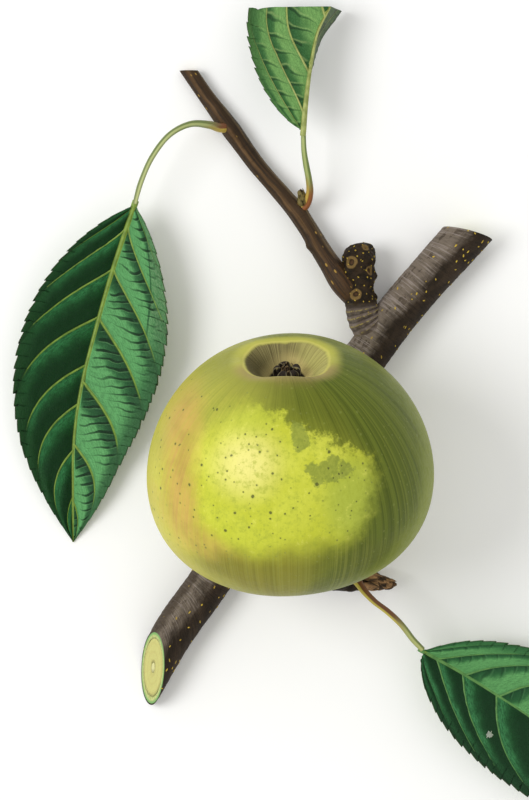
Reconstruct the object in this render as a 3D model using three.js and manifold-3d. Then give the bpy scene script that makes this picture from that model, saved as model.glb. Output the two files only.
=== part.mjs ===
// A green apple on its leafy branch, cut from the tree and laid on a table.
// Millimetres, +Z up. The branch lies along a slanting line, its flattened underside on z = 0.
// The apple hangs by its stalk from a fruiting spur and rests on the branch, its eye turned up and away.
import * as THREE from "three";
import { mergeVertices } from "three/addons/utils/BufferGeometryUtils.js";
import Module from "manifold-3d";

const wasm = await Module();
wasm.setup();

const UP = new THREE.Vector3(0, 0, 1);
const GAP = 0.3; // left between pieces that touch
const TRIM_BLOCK = 200;

// The apple, measured on its own axis, which runs from the stalk to the eye.
const FRUIT_RADIUS = 38.4;
const FRUIT_HALF_HEIGHT = 34.2;
const FRUIT_CENTRE = new THREE.Vector3(5.7, -16.1, 51.1);
const FRUIT_PITCH = -58; // degrees from upright, so that the eye faces up and away
const FRUIT_YAW = 1.5;
const EYE_END_TAPER = 0.15; // how much narrower the eye end is than the stalk end
const SHOULDER_FULLNESS = 0.128;
const CHEEK = { amount: -0.045, turn: 143 }; // one cheek is flatter
const OVAL = { amount: 0.035, turn: 11 };
const BASIN = { depth: 8.5, width: 6.5, offset: 1.1 }; // hollow round the eye
const CAVITY = { depth: 13, width: 8.5 }; // hollow round the stalk
const CROWN = { count: 5, height: 0.5, radius: 11, spread: 4 };
const CHEEK_ROUNDNESS = 0.95;
const FRUIT_RINGS = 27;
const FRUIT_SIDES = 40;
const RING_BUNCHING = 0.28; // rings stand closer together near both ends, where the hollows are

// The branch. Its layers are bark with the green bast inside it, wood, and pith.
const BRANCH_RADIUS = { start: 6.0, end: 6.5 };
const BRANCH_PATH = [
  [-32.1, -77.1],
  [-25.2, -65.5],
  [-16.4, -53.1],
  [7.6, -18.7],
  [36.7, 23.0],
  [55.2, 44.3],
  [58.3, 47.8],
];
const BRANCH_STATIONS = 15;
const BRANCH_SIDES = 12;
const BARK_THICKNESS = 1.3;
const PITH_RADIUS = 0.75;
const LAYER_GAP = 0.12;
// A slanting cut: how far the end runs out for each millimetre sideways and upwards.
const LOWER_CUT = { across: 1.25, up: -1.1, fade: 30 };
const UPPER_CUT = { across: 0.5, up: 0.15, fade: 16 };

// Round pieces that grow from the branch and from each other. A point is x, y, z and the radius there.
const SPUR = {
  sides: 12,
  stations: 14,
  points: [
    [34.5, 20.0, 7.5, 5.4],
    [29.6, 19.6, 7.9, 5.0],
    [27.9, 25.0, 8.3, 4.2],
    [27.4, 31.6, 8.5, 4.1],
    [27.3, 38.7, 8.6, 4.3],
    [26.9, 42.6, 8.7, 3.9],
    [26.6, 44.6, 8.7, 2.4],
  ],
};
const FRUIT_SPUR = {
  sides: 10,
  stations: 14,
  points: [
    [-4.4, -35.9, 6.2, 3.4],
    [6.0, -43.0, 5.2, 3.5],
    [14.0, -48.0, 4.9, 4.8],
    [21.5, -51.4, 5.2, 3.6],
    [28.3, -51.9, 5.9, 2.5],
  ],
};
const TWIG = {
  sides: 8,
  stations: 20,
  points: [
    [-24.2, 98.6, 2.3, 2.3],
    [-16.9, 88.0, 2.5, 2.3],
    [-10.2, 78.9, 2.9, 2.7],
    [-2.4, 68.0, 3.6, 2.4],
    [9.4, 54.1, 4.6, 2.7],
    [17.8, 40.7, 6.5, 3.0],
    [22.6, 34.2, 8.2, 3.4],
  ],
};
const END_BUD = {
  sides: 10,
  stations: 8,
  points: [
    [28.9, -51.9, 6.0, 1.8],
    [31.6, -51.8, 6.3, 2.6],
    [34.6, -52.1, 6.5, 2.5],
    [38.6, -53.2, 6.6, 0.4],
  ],
};
const SIDE_BUD = {
  sides: 8,
  stations: 5,
  points: [
    [11.0, 56.6, 7.6, 1.1],
    [10.7, 58.6, 8.4, 1.0],
    [10.2, 60.9, 9.0, 0.25],
  ],
};
const STALK = {
  sides: 8,
  stations: 12,
  points: [
    [6.2, -35.1, 38.2, 1.5],
    [6.2, -42.5, 33.5, 1.3],
    [8.3, -48.6, 24.0, 1.3],
    [11.6, -49.4, 13.5, 1.5],
    [13.0, -48.6, 6.0, 2.2],
  ],
};

// Leaves. A blade half is widest where rise and fall balance, and folds up from the midrib by its angle.
const LEAF_STALK = { sides: 8, stations: 14 };
const BLADE_THICKNESS = 0.5;
const BLADE_COLUMNS = 6;
const BLADE_BASE = 0.004; // a blade starts and ends just short of its outline's two points
const BLADE_TIP = 0.992;
const BASE_FURL = 0.3; // how much more a blade half is folded at its base
const TOOTH = { depth: 0.035, lean: 0.45 };
const BLADE_WAVE = { count: 6, height: 0.5 };
const LEAVES = {
  leaf_left: {
    stalk: [
      [-9.8, 78.4, 3.8, 1.4],
      [-12.9, 78.3, 7.0, 1.3],
      [-15.6, 78.9, 9.4, 1.1],
      [-21.3, 78.9, 13.0, 0.9],
      [-27.0, 75.9, 15.0, 0.8],
      [-32.1, 69.4, 15.4, 0.8],
      [-35.3, 62.3, 14.4, 0.9],
      [-37.1, 56.2, 12.7, 1.0],
    ],
    midrib: [
      [-37.4, 55.4, 12.4],
      [-43.6, 37.4, 7.0],
      [-48.0, 22.5, 4.2],
      [-52.7, 4.3, 2.6],
      [-55.0, -11.5, 2.0],
      [-55.3, -28.9, 1.8],
      [-55.3, -41.0, 0.5],
    ],
    left: { width: 23.8, rise: 0.76, fall: 0.98, fold: 20 },
    right: { width: 21.2, rise: 0.84, fall: 1.02, fold: 13 },
    rows: 40,
    reach: 1,
  },
  leaf_right: {
    stalk: [
      [24.4, -51.0, 6.4, 1.4],
      [26.3, -51.7, 10.8, 1.3],
      [28.6, -54.7, 14.2, 1.0],
      [31.5, -57.6, 15.5, 0.9],
      [35.1, -60.4, 15.5, 0.9],
      [39.2, -64.3, 14.0, 0.9],
      [42.6, -68.7, 12.4, 1.0],
      [45.3, -71.5, 11.4, 1.1],
    ],
    midrib: [
      [45.7, -72.2, 11.1],
      [56.2, -78.2, 7.4],
      [67.9, -85.6, 4.8],
      [76.3, -91.2, 3.4],
      [98.0, -106.5, 1.9],
      [118.5, -125.0, 0.5],
    ],
    left: { width: 20.0, rise: 0.8, fall: 0.95, fold: 14 },
    right: { width: 20.6, rise: 0.5, fall: 0.62, fold: 15 },
    rows: 40,
    reach: 1,
  },
  // This one lies with its underside up and was trimmed straight across, half way along.
  leaf_top: {
    stalk: [
      [10.2, 54.6, 5.2, 1.4],
      [12.2, 56.6, 7.4, 1.2],
      [13.0, 59.7, 9.8, 1.0],
      [12.7, 63.0, 12.0, 0.9],
      [11.9, 67.2, 14.0, 0.9],
      [11.3, 71.4, 15.3, 0.9],
      [11.1, 76.4, 16.2, 1.0],
    ],
    midrib: [
      [11.1, 77.0, 16.4],
      [11.6, 82.8, 16.9],
      [12.4, 89.9, 17.2],
      [13.5, 97.0, 17.3],
      [15.3, 105.0, 17.2],
      [19.0, 112.4, 17.0],
      [22.4, 119.5, 17.0],
    ],
    left: { width: 21.2, rise: 0.75, fall: 0.6, fold: -11 },
    right: { width: 16.4, rise: 0.75, fall: 0.6, fold: -76 },
    rows: 24,
    reach: 0.54,
  },
};
const LEAF_TRIM = 112.3; // the top leaf's blade stops at this y
const TWIG_TRIM = 95.0; // and the twig at this one
const LEAF_HOLE = { x: 64.6, y: -96.1, radius: 0.8, sides: 8 }; // eaten by an insect

// The eye of the apple: five dried sepals round a hollow. Each is a radius, a height over the basin's floor
// and how far the lobes reach.
const CALYX_LOBES = 5;
const CALYX_SIDES = 20;
const CALYX_PROFILE = [
  [1.5, 1.2, 0],
  [2.9, 2.7, 0.2],
  [3.3, 3.6, 1.7],
  [2.9, 4.1, 1.5],
  [2.1, 3.2, 0.1],
  [1.2, 2.4, 0],
];

const bark = { color: 0x4a3d2f, roughness: 0.85, metalness: 0 };
const twigBark = { color: 0x4b3418, roughness: 0.7, metalness: 0 };
const wood = { color: 0xccc07e, roughness: 0.8, metalness: 0 };
const pith = { color: 0xd8cf96, roughness: 0.9, metalness: 0 };
const skin = { color: 0xa9b13a, roughness: 0.35, metalness: 0 };
const leafGreen = { color: 0x3f6f3a, roughness: 0.55, metalness: 0 };
const leafStalk = { color: 0x9ba664, roughness: 0.55, metalness: 0 };
const dried = { color: 0x4a3422, roughness: 0.9, metalness: 0 };

const radians = THREE.MathUtils.degToRad;
const vector = (p) => new THREE.Vector3(p[0], p[1], p[2]);
const turnsOf = (sides) => Array.from({ length: sides }, (_, side) => (side * 2 * Math.PI) / sides);

function geometryOf(points, index) {
  const positions = new Float32Array(points.flatMap((p) => p.toArray()));
  return new THREE.BufferGeometry()
    .setAttribute("position", new THREE.BufferAttribute(positions, 3))
    .setIndex(index);
}

// Two triangles between neighbouring points a, b of one row and c, d of the next.
const quad = (a, b, c, d) => [a, b, d, a, d, c];

// Joins rings of points into a closed body. Solid ones are closed by a point at the middle of each end.
// Hollow ones run out along the outside and back along the inside.
function loft(rings, hollow = false) {
  const sides = rings[0].length;
  const at = (ring, side) => (ring % rings.length) * sides + (side % sides);
  const points = rings.flat();
  const index = [];
  for (let ring = 0; ring < rings.length - (hollow ? 0 : 1); ring++)
    for (let side = 0; side < sides; side++)
      index.push(...quad(at(ring, side), at(ring, side + 1), at(ring + 1, side), at(ring + 1, side + 1)));
  if (hollow) return geometryOf(points, index);
  const last = rings.length - 1;
  const start = points.push(middle(rings[0])) - 1;
  const end = points.push(middle(rings[last])) - 1;
  for (let side = 0; side < sides; side++) {
    index.push(start, at(0, side + 1), at(0, side));
    index.push(end, at(last, side), at(last, side + 1));
  }
  return geometryOf(points, index);
}

function middle(points) {
  const sum = new THREE.Vector3();
  for (const point of points) sum.add(point);
  return sum.divideScalar(points.length);
}

// Closes a thin sheet of rows of points: the upper side, the lower side and a wall round the edge.
function sheet(upper, lower) {
  const rows = upper.length - 1;
  const columns = upper[0].length - 1;
  const at = (row, column) => row * (columns + 1) + column;
  const under = (rows + 1) * (columns + 1);
  const index = [];
  for (let row = 0; row < rows; row++)
    for (let column = 0; column < columns; column++) {
      const corners = [at(row, column), at(row, column + 1), at(row + 1, column), at(row + 1, column + 1)];
      index.push(...quad(...corners));
      index.push(...quad(...corners.map((corner) => corner + under)).reverse());
    }
  const edge = [];
  for (let column = 0; column < columns; column++) edge.push(at(0, column));
  for (let row = 0; row < rows; row++) edge.push(at(row, columns));
  for (let column = columns; column > 0; column--) edge.push(at(rows, column));
  for (let row = rows; row > 0; row--) edge.push(at(row, 0));
  edge.forEach((corner, i) => {
    const next = edge[(i + 1) % edge.length];
    index.push(next, corner, corner + under, next, corner + under, next + under);
  });
  return geometryOf([...upper.flat(), ...lower.flat()], index);
}

// The three directions of a path at t: along it, to its right, and up from it.
function frameAt(path, t) {
  const along = path.getTangent(t);
  const right = along.clone().cross(UP).normalize();
  return { centre: path.getPoint(t), along, right, up: right.clone().cross(along) };
}

// The same at a share of the path's length.
const frameAtShare = (path, share) => frameAt(path, path.getUtoTmapping(share));

// A ring of points round a path, with a flat side underneath. slant gives how far each runs along it.
function ringAt({ centre, along, right, up }, radius, sides, slant = () => 0) {
  return turnsOf(sides).map((turn) => {
    const angle = turn + Math.PI / sides;
    const x = radius * Math.cos(angle);
    const y = -radius * Math.sin(angle);
    return centre
      .clone()
      .addScaledVector(right, x)
      .addScaledVector(up, y)
      .addScaledVector(along, slant(x, y));
  });
}

// A solid rod through points of x, y, z and radius. grow makes it fatter all over.
function rod({ points, sides, stations }, grow = 0) {
  const path = new THREE.CatmullRomCurve3(points.map(vector));
  const radii = new THREE.SplineCurve(points.map((point) => new THREE.Vector2(point[3], 0)));
  const rings = Array.from({ length: stations + 1 }, (_, k) => {
    const t = k / stations;
    return ringAt(frameAt(path, t), radii.getPoint(t).x + grow, sides);
  });
  return loft(rings);
}

// A block that holds everything beyond y.
function beyond(y) {
  const block = new THREE.BoxGeometry(TRIM_BLOCK, TRIM_BLOCK, TRIM_BLOCK);
  block.deleteAttribute("normal");
  block.deleteAttribute("uv");
  return block.translate(0, y + TRIM_BLOCK / 2, 0);
}

function solidOf(geometry) {
  const merged = mergeVertices(geometry, 1e-4);
  return new wasm.Manifold(
    new wasm.Mesh({
      numProp: 3,
      vertProperties: merged.attributes.position.array,
      triVerts: new Uint32Array(merged.index.array),
    }),
  );
}

// What is left of a geometry once the others are cut out of it. Only the largest piece is kept.
function without(geometry, ...others) {
  const cut = others.reduce((left, other) => left.subtract(solidOf(other)), solidOf(geometry));
  const [largest] = cut.decompose().sort((a, b) => b.volume() - a.volume());
  const { numProp, vertProperties, triVerts } = largest.getMesh();
  const rows = new THREE.InterleavedBuffer(vertProperties, numProp);
  return new THREE.BufferGeometry()
    .setAttribute("position", new THREE.InterleavedBufferAttribute(rows, 3, 0))
    .setIndex(new THREE.BufferAttribute(triVerts, 1));
}

function meshOf(name, geometry, finish) {
  const mesh = new THREE.Mesh(geometry, new THREE.MeshStandardMaterial(finish));
  mesh.name = name;
  return mesh;
}

const basinAt = (x, y, { depth, width, offset = 0 }) =>
  depth * Math.exp(-((x - offset) ** 2 + y ** 2) / width ** 2);

// A point of the apple's skin. Latitude runs from 0 at the eye to PI at the stalk.
function skinPoint(latitude, turn) {
  const sine = Math.sin(latitude);
  const cosine = Math.cos(latitude);
  const girth =
    1 +
    CHEEK.amount * Math.cos(turn - radians(CHEEK.turn)) +
    OVAL.amount * Math.cos(2 * (turn - radians(OVAL.turn)));
  const radius = FRUIT_RADIUS * sine ** CHEEK_ROUNDNESS * (1 - EYE_END_TAPER * cosine) * girth;
  const x = radius * Math.cos(turn);
  const y = radius * Math.sin(turn);
  const body = FRUIT_HALF_HEIGHT * cosine * (1 + SHOULDER_FULLNESS * sine ** 2);
  if (cosine < 0) return new THREE.Vector3(x, y, body + basinAt(x, y, CAVITY));
  const knobs = Math.cos(CROWN.count * turn) * Math.exp(-(((radius - CROWN.radius) / CROWN.spread) ** 2));
  return new THREE.Vector3(x, y, body - basinAt(x, y, BASIN) + CROWN.height * knobs);
}

function fruit() {
  const rings = Array.from({ length: FRUIT_RINGS }, (_, k) => {
    const share = 1 - (k + 1) / (FRUIT_RINGS + 1);
    const latitude = Math.PI * share - RING_BUNCHING * Math.sin(2 * Math.PI * share);
    return turnsOf(FRUIT_SIDES).map((turn) => skinPoint(latitude, turn));
  });
  return meshOf("fruit", loft(rings), skin);
}

function calyx() {
  const rings = CALYX_PROFILE.map(([radius, height, reach]) =>
    turnsOf(CALYX_SIDES).map((turn) => {
      const lobe = reach * Math.abs(Math.cos((CALYX_LOBES * turn) / 2));
      const out = radius + lobe;
      return new THREE.Vector3(out * Math.cos(turn), out * Math.sin(turn), height + lobe);
    }),
  );
  const mesh = meshOf("calyx", loft(rings), dried);
  mesh.position.set(BASIN.offset, 0, FRUIT_HALF_HEIGHT - BASIN.depth);
  return mesh;
}

// The rings of one layer of the branch. Its height keeps the bark's lowest flat side at z = 0.
function branchRings(inset) {
  const path = new THREE.CatmullRomCurve3(BRANCH_PATH.map(([x, y]) => new THREE.Vector3(x, y, 0)));
  const length = path.getLength();
  return Array.from({ length: BRANCH_STATIONS + 1 }, (_, k) => {
    const t = k / BRANCH_STATIONS;
    const outer = THREE.MathUtils.lerp(BRANCH_RADIUS.start, BRANCH_RADIUS.end, t);
    const frame = frameAtShare(path, t);
    frame.centre.z = outer * Math.cos(Math.PI / BRANCH_SIDES);
    const startFade = Math.max(0, 1 - (t * length) / LOWER_CUT.fade);
    const endFade = Math.max(0, 1 - ((1 - t) * length) / UPPER_CUT.fade);
    const slant = (x, y) =>
      endFade * (UPPER_CUT.across * x + UPPER_CUT.up * y) -
      startFade * (LOWER_CUT.across * x + LOWER_CUT.up * y);
    return ringAt(frame, inset(outer), BRANCH_SIDES, slant);
  });
}

const hollowRod = (outer, inner) => loft([...branchRings(outer), ...branchRings(inner).reverse()], true);

function branch() {
  const barkInner = (r) => r - BARK_THICKNESS;
  const woodOuter = (r) => r - BARK_THICKNESS - LAYER_GAP;
  return [
    meshOf("branch_bark", hollowRod((r) => r, barkInner), bark),
    meshOf("branch_wood", hollowRod(woodOuter, () => PITH_RADIUS + LAYER_GAP), wood),
    meshOf("branch_pith", loft(branchRings(() => PITH_RADIUS)), pith),
  ];
}

function spurs() {
  const clearBranch = loft(branchRings((r) => r + GAP));
  const clearFruitSpur = rod(FRUIT_SPUR, GAP);
  const clearTwig = rod(TWIG, GAP);
  const clearLeafStalk = rod(leafStalkOf(LEAVES.leaf_top), GAP);
  const twig = without(rod(TWIG), rod(SPUR, GAP), beyond(TWIG_TRIM));
  return [
    meshOf("spur", without(rod(SPUR), clearBranch), bark),
    meshOf("fruit_spur", without(rod(FRUIT_SPUR), clearBranch), bark),
    meshOf("twig", twig, twigBark),
    meshOf("end_bud", without(rod(END_BUD), clearFruitSpur), dried),
    meshOf("side_bud", without(rod(SIDE_BUD), clearTwig, clearLeafStalk), dried),
    meshOf("stalk", without(rod(STALK), clearFruitSpur), twigBark),
  ];
}

const leafStalkOf = (leaf) => ({ ...LEAF_STALK, points: leaf.stalk });

// A blade half's width at a share of the whole leaf's length, 1 at its widest.
function outline(share, { rise, fall }) {
  const widest = rise / (rise + fall);
  return (share / widest) ** rise * ((1 - share) / (1 - widest)) ** fall;
}

function blade({ midrib, left, right, rows, reach }) {
  const path = new THREE.CatmullRomCurve3(midrib.map(vector));
  const upper = [];
  const lower = [];
  for (let row = 0; row <= rows; row++) {
    // Every other row is the point of a tooth, and leans towards the tip.
    const pointed = row % 2;
    const t = Math.min(1, (row + pointed * TOOTH.lean) / rows);
    const { centre, right: across, up } = frameAtShare(path, t);
    const share = THREE.MathUtils.clamp(t * reach, BLADE_BASE, BLADE_TIP);
    const { count, height } = BLADE_WAVE;
    const wave = height * Math.sin(2 * Math.PI * count * t) * Math.sin(Math.PI * t * reach);
    const strip = { upper: [], lower: [] };
    for (let column = 0; column <= BLADE_COLUMNS; column++) {
      const v = (2 * column) / BLADE_COLUMNS - 1;
      const half = v < 0 ? left : right;
      const margin = Math.abs(v) === 1 && !pointed ? 1 - TOOTH.depth : 1;
      const out = Math.abs(v) * half.width * outline(share, half) * margin;
      const fold = radians(half.fold * (1 + BASE_FURL * (1 - t)));
      const point = centre
        .clone()
        .addScaledVector(across, Math.sign(v) * out * Math.cos(fold))
        .addScaledVector(up, out * Math.sin(fold) + wave * v * v);
      const face = v ? up.clone().multiplyScalar(Math.cos(fold)) : up.clone();
      face.addScaledVector(across, -Math.sign(v) * Math.sin(fold));
      const below = point.clone().addScaledVector(face, -BLADE_THICKNESS);
      // Where the blade reaches the table it lies on it.
      below.z = Math.max(below.z, 0);
      point.z = Math.max(point.z, BLADE_THICKNESS);
      strip.upper.push(point);
      strip.lower.push(below);
    }
    upper.push(strip.upper);
    lower.push(strip.lower);
  }
  return sheet(upper, lower);
}

function leaves() {
  const clearTwig = rod(TWIG, GAP);
  const clearFruitSpur = rod(FRUIT_SPUR, GAP);
  const hole = new THREE.CylinderGeometry(LEAF_HOLE.radius, LEAF_HOLE.radius, TRIM_BLOCK, LEAF_HOLE.sides);
  hole.deleteAttribute("normal");
  hole.deleteAttribute("uv");
  hole.rotateX(Math.PI / 2).translate(LEAF_HOLE.x, LEAF_HOLE.y, 0);
  return Object.entries(LEAVES).flatMap(([name, leaf]) => [
    meshOf(name + "_blade", without(blade(leaf), hole, beyond(LEAF_TRIM)), leafGreen),
    meshOf(name + "_stalk", without(rod(leafStalkOf(leaf)), clearTwig, clearFruitSpur), leafStalk),
  ]);
}

// The whole part, with the origin under the middle of its box.
function sprigWithFruit() {
  const apple = new THREE.Group().add(fruit(), calyx());
  apple.rotation.x = radians(FRUIT_PITCH);
  const turned = new THREE.Group().add(apple);
  turned.rotation.z = radians(FRUIT_YAW);
  turned.position.copy(FRUIT_CENTRE);
  const sprig = new THREE.Group().add(turned, ...branch(), ...spurs(), ...leaves());
  const box = new THREE.Box3().setFromObject(sprig, true);
  const centre = box.getCenter(new THREE.Vector3());
  sprig.position.set(-centre.x, -centre.y, -box.min.z);
  return new THREE.Group().add(sprig);
}

export default sprigWithFruit();
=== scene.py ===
# A whole green apple on its leafy branch: the apple hangs by its stalk from a fruiting spur, and rests on a
# cut branch with a knobbly side spur, a twig, buds and three toothed leaves. All of it lies on a table.
import math

import bpy
import numpy as np
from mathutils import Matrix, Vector


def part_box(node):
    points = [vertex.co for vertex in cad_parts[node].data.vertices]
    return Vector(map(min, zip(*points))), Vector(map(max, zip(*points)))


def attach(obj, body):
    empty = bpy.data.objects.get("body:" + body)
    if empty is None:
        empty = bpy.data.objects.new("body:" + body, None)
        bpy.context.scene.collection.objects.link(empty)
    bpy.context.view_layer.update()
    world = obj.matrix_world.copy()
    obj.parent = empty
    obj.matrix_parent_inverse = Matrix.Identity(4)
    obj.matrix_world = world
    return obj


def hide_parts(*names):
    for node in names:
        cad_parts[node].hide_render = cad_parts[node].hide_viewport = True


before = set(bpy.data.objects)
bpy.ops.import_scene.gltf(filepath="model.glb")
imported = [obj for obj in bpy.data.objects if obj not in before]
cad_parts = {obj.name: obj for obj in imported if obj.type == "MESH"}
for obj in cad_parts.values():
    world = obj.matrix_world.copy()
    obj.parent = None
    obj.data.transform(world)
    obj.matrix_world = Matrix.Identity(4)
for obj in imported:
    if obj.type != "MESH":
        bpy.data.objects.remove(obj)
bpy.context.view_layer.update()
scene = bpy.context.scene

# ------------------------------------------------------------
# The sprig's plan. Every piece below is measured in it, in millimetres, with the table at z = 0. The packed
# fruit says where the plan lies in the frame.
MM = 0.001
FRUIT_BOX_CENTRE = np.array((7.243, -17.829, 49.788))
fruit_low, fruit_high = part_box("fruit")
PLAN = (np.array(fruit_low) + np.array(fruit_high)) / 2 - FRUIT_BOX_CENTRE * MM

# ------------------------------------------------------------
# Camera, light and table top. The camera looks straight down on the middle of the plan. A wide soft lamp
# stands low on the left, and an even pale sky fills the shadows.
CAMERA = {"height": 1.2846, "lens": 200, "sensor": 36, "nearest": 0.05}
SKY = {"colour": (1.0, 0.995, 0.98, 1), "strength": 0.76}
LAMP_AIM_HEIGHT = 0.05
LAMPS = {
    "window": {"towards": (-0.605, 0.066, 0.79), "distance": 1.1, "size": 0.6, "watts": 6.2},
    "bounce": {"towards": (0.75, -0.35, 0.56), "distance": 1.4, "size": 1.2, "watts": 0.5},
}
TABLE = {"half": 2.0, "drop": -0.0002, "colour": (0.97, 0.97, 0.965, 1), "roughness": 0.9, "gloss": 0.1}

lens = bpy.data.cameras.new("camera")
lens.lens = CAMERA["lens"]
lens.sensor_width = CAMERA["sensor"]
lens.clip_start = CAMERA["nearest"]
camera = bpy.data.objects.new("camera", lens)
camera.location = (*PLAN[:2], CAMERA["height"])
scene.collection.objects.link(camera)
scene.camera = camera
scene.view_settings.view_transform = "Standard"

scene.world = bpy.data.worlds.new("sky")
scene.world.use_nodes = True
sky = scene.world.node_tree.nodes["Background"]
sky.inputs["Color"].default_value = SKY["colour"]
sky.inputs["Strength"].default_value = SKY["strength"]

for name, lamp in LAMPS.items():
    light = bpy.data.lights.new(name, "AREA")
    light.shape = "DISK"
    light.size = lamp["size"]
    light.energy = lamp["watts"]
    towards = Vector(lamp["towards"]).normalized()
    hung = bpy.data.objects.new(name, light)
    hung.location = Vector((*PLAN[:2], LAMP_AIM_HEIGHT)) + towards * lamp["distance"]
    hung.rotation_euler = towards.to_track_quat("Z", "Y").to_euler()
    scene.collection.objects.link(hung)

table_mesh = bpy.data.meshes.new("table_top")
far_out = TABLE["half"]
corners = [(x * far_out, y * far_out, TABLE["drop"]) for x, y in ((-1, -1), (1, -1), (1, 1), (-1, 1))]
table_mesh.from_pydata(corners, [], [(0, 1, 2, 3)])
table_finish = bpy.data.materials.new("pale_table")
table_finish.use_nodes = True
pale = table_finish.node_tree.nodes["Principled BSDF"]
pale.inputs["Base Color"].default_value = TABLE["colour"]
pale.inputs["Roughness"].default_value = TABLE["roughness"]
pale.inputs["Specular IOR Level"].default_value = TABLE["gloss"]
table_mesh.materials.append(table_finish)
table = bpy.data.objects.new("table_top", table_mesh)
scene.collection.objects.link(table)

# ------------------------------------------------------------
# The apple. A firm green fruit with a thin waxy skin, yellow where the sun reached it. It grows in rings
# from the hollow round its stalk to the five-cornered hollow round its eye.
FRUIT = {
    "radius": 38.4,
    "half_height": 34.2,
    "centre": (5.7, -16.1, 51.1),
    "pitch": math.radians(-58),
    "yaw": math.radians(1.5),
    "taper": 0.15,
    "shoulder": 0.128,
    "roundness": 0.95,
    "rings": 200,
    "sides": 240,
    "bunching": 0.28,
}
CHEEK = {"amount": -0.045, "turn": math.radians(143)}
OVAL = {"amount": 0.035, "turn": math.radians(11)}
BASIN = {"depth": 8.8, "width": 9.4, "offset": 1.1, "steepness": 3.6, "squeeze": 1.28, "square": 2.9}
CAVITY = {"depth": 13.0, "width": 8.5, "offset": 0.0, "steepness": 2.0, "squeeze": 1.0, "square": 2.0}
CORNERS = {"count": 5, "height": 0.6, "radius": 11.8, "spread": 3.6, "turn": math.radians(54), "even": 0.1}
SWELLS = {"depth": 0.35, "reach": (30, 30, 40)}
SKIN_MIDDLE = np.array((7.3, -18.0, 50.0))
SKIN_SPAN = 40.0
RUBBED = [(0.06, 0.20, 0.06, 0.10), (0.245, -0.03, 0.14, 0.09)]
DOTS = [(0.24, 0.12, 0.95), (0.33, 0.125, 0.9), (0.44, 0.13, 0.8)]


def hollow(x, y, depth, width, offset, steepness, squeeze, square):
    """The depth of a hollow, oval where square is 2 and more four-cornered above that."""
    far = (np.abs(x - offset) ** square + np.abs(y * squeeze) ** square) ** (1 / square)
    return depth * np.exp(-((far / width) ** steepness))


def ripple(places, reach, seed, count=16):
    """Smooth unevenness, from about -1 to 1. reach is the length of one swell in each direction."""
    random = np.random.default_rng(seed)
    waves = random.normal(size=(count, 3)) * 2 * np.pi / (np.array(reach) * 2)
    phases = random.uniform(0, 2 * np.pi, count)
    return np.cos(places @ waves.T + phases).sum(-1) * math.sqrt(1 / count)


def around(sides):
    """The angle of each side of a ring, as a row."""
    return np.arange(sides)[None, :] * 2 * np.pi / sides


def loft(rings, joined=False):
    """Points and faces of a closed body through rings of points, or of values. Each end is closed by a middle
    point, or the last ring is joined to the first."""
    rings = rings.reshape(*rings.shape[:2], -1)
    count, sides, size = rings.shape
    ring = np.arange(count if joined else count - 1)[:, None]
    side = np.arange(sides)[None, :]

    def at(r, s):
        return (r % count) * sides + s % sides

    quads = [at(ring, side), at(ring, side + 1), at(ring + 1, side + 1), at(ring + 1, side)]
    faces = np.stack(quads, -1).reshape(-1, 4).tolist()
    points = rings.reshape(-1, size)
    if joined:
        return points, faces
    points = np.vstack([points, rings[0].mean(0), rings[-1].mean(0)])
    last = (count - 1) * sides
    for s in range(sides):
        after = (s + 1) % sides
        faces.append([count * sides, after, s])
        faces.append([count * sides + 1, last + s, last + after])
    return points, faces


def piece(name, points, faces, finish=None, **values):
    """An object from points in the plan, with values of its own at each point."""
    mesh = bpy.data.meshes.new(name)
    mesh.from_pydata((points * MM + PLAN).tolist(), [], faces)
    for key, value in values.items():
        vector = value.shape[1:] == (3,)
        attribute = mesh.attributes.new(key, "FLOAT_VECTOR" if vector else "FLOAT", "POINT")
        attribute.data.foreach_set("vector" if vector else "value", value.astype(np.float32).ravel())
    mesh.shade_smooth()
    if finish:
        mesh.materials.append(finish)
    made = bpy.data.objects.new(name, mesh)
    scene.collection.objects.link(made)
    return made


def settle(made, slot, *nodes):
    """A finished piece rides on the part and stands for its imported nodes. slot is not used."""
    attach(made, "root")
    if nodes:
        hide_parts(*nodes)


def grown(name, rings, finish, slot, *nodes, joined=False, **values):
    """A settled piece through rings, with its values at each of their points. Gives its points and faces."""
    points, faces = loft(rings, joined)
    values = {key: loft(value, joined)[0] for key, value in values.items()}
    settle(piece(name, points, faces, finish, **values), slot, *nodes)
    return points, faces


def apple_to_plan(points):
    """Turns points measured round the apple's own axis, its eye at +z, to where they lie in the plan."""
    pitch = FRUIT["pitch"]
    yaw = FRUIT["yaw"]
    x, y, z = points[..., 0], points[..., 1], points[..., 2]
    y, z = y * math.cos(pitch) - z * math.sin(pitch), y * math.sin(pitch) + z * math.cos(pitch)
    x, y = x * math.cos(yaw) - y * math.sin(yaw), x * math.sin(yaw) + y * math.cos(yaw)
    return np.stack([x, y, z], -1) + FRUIT["centre"]


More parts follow.
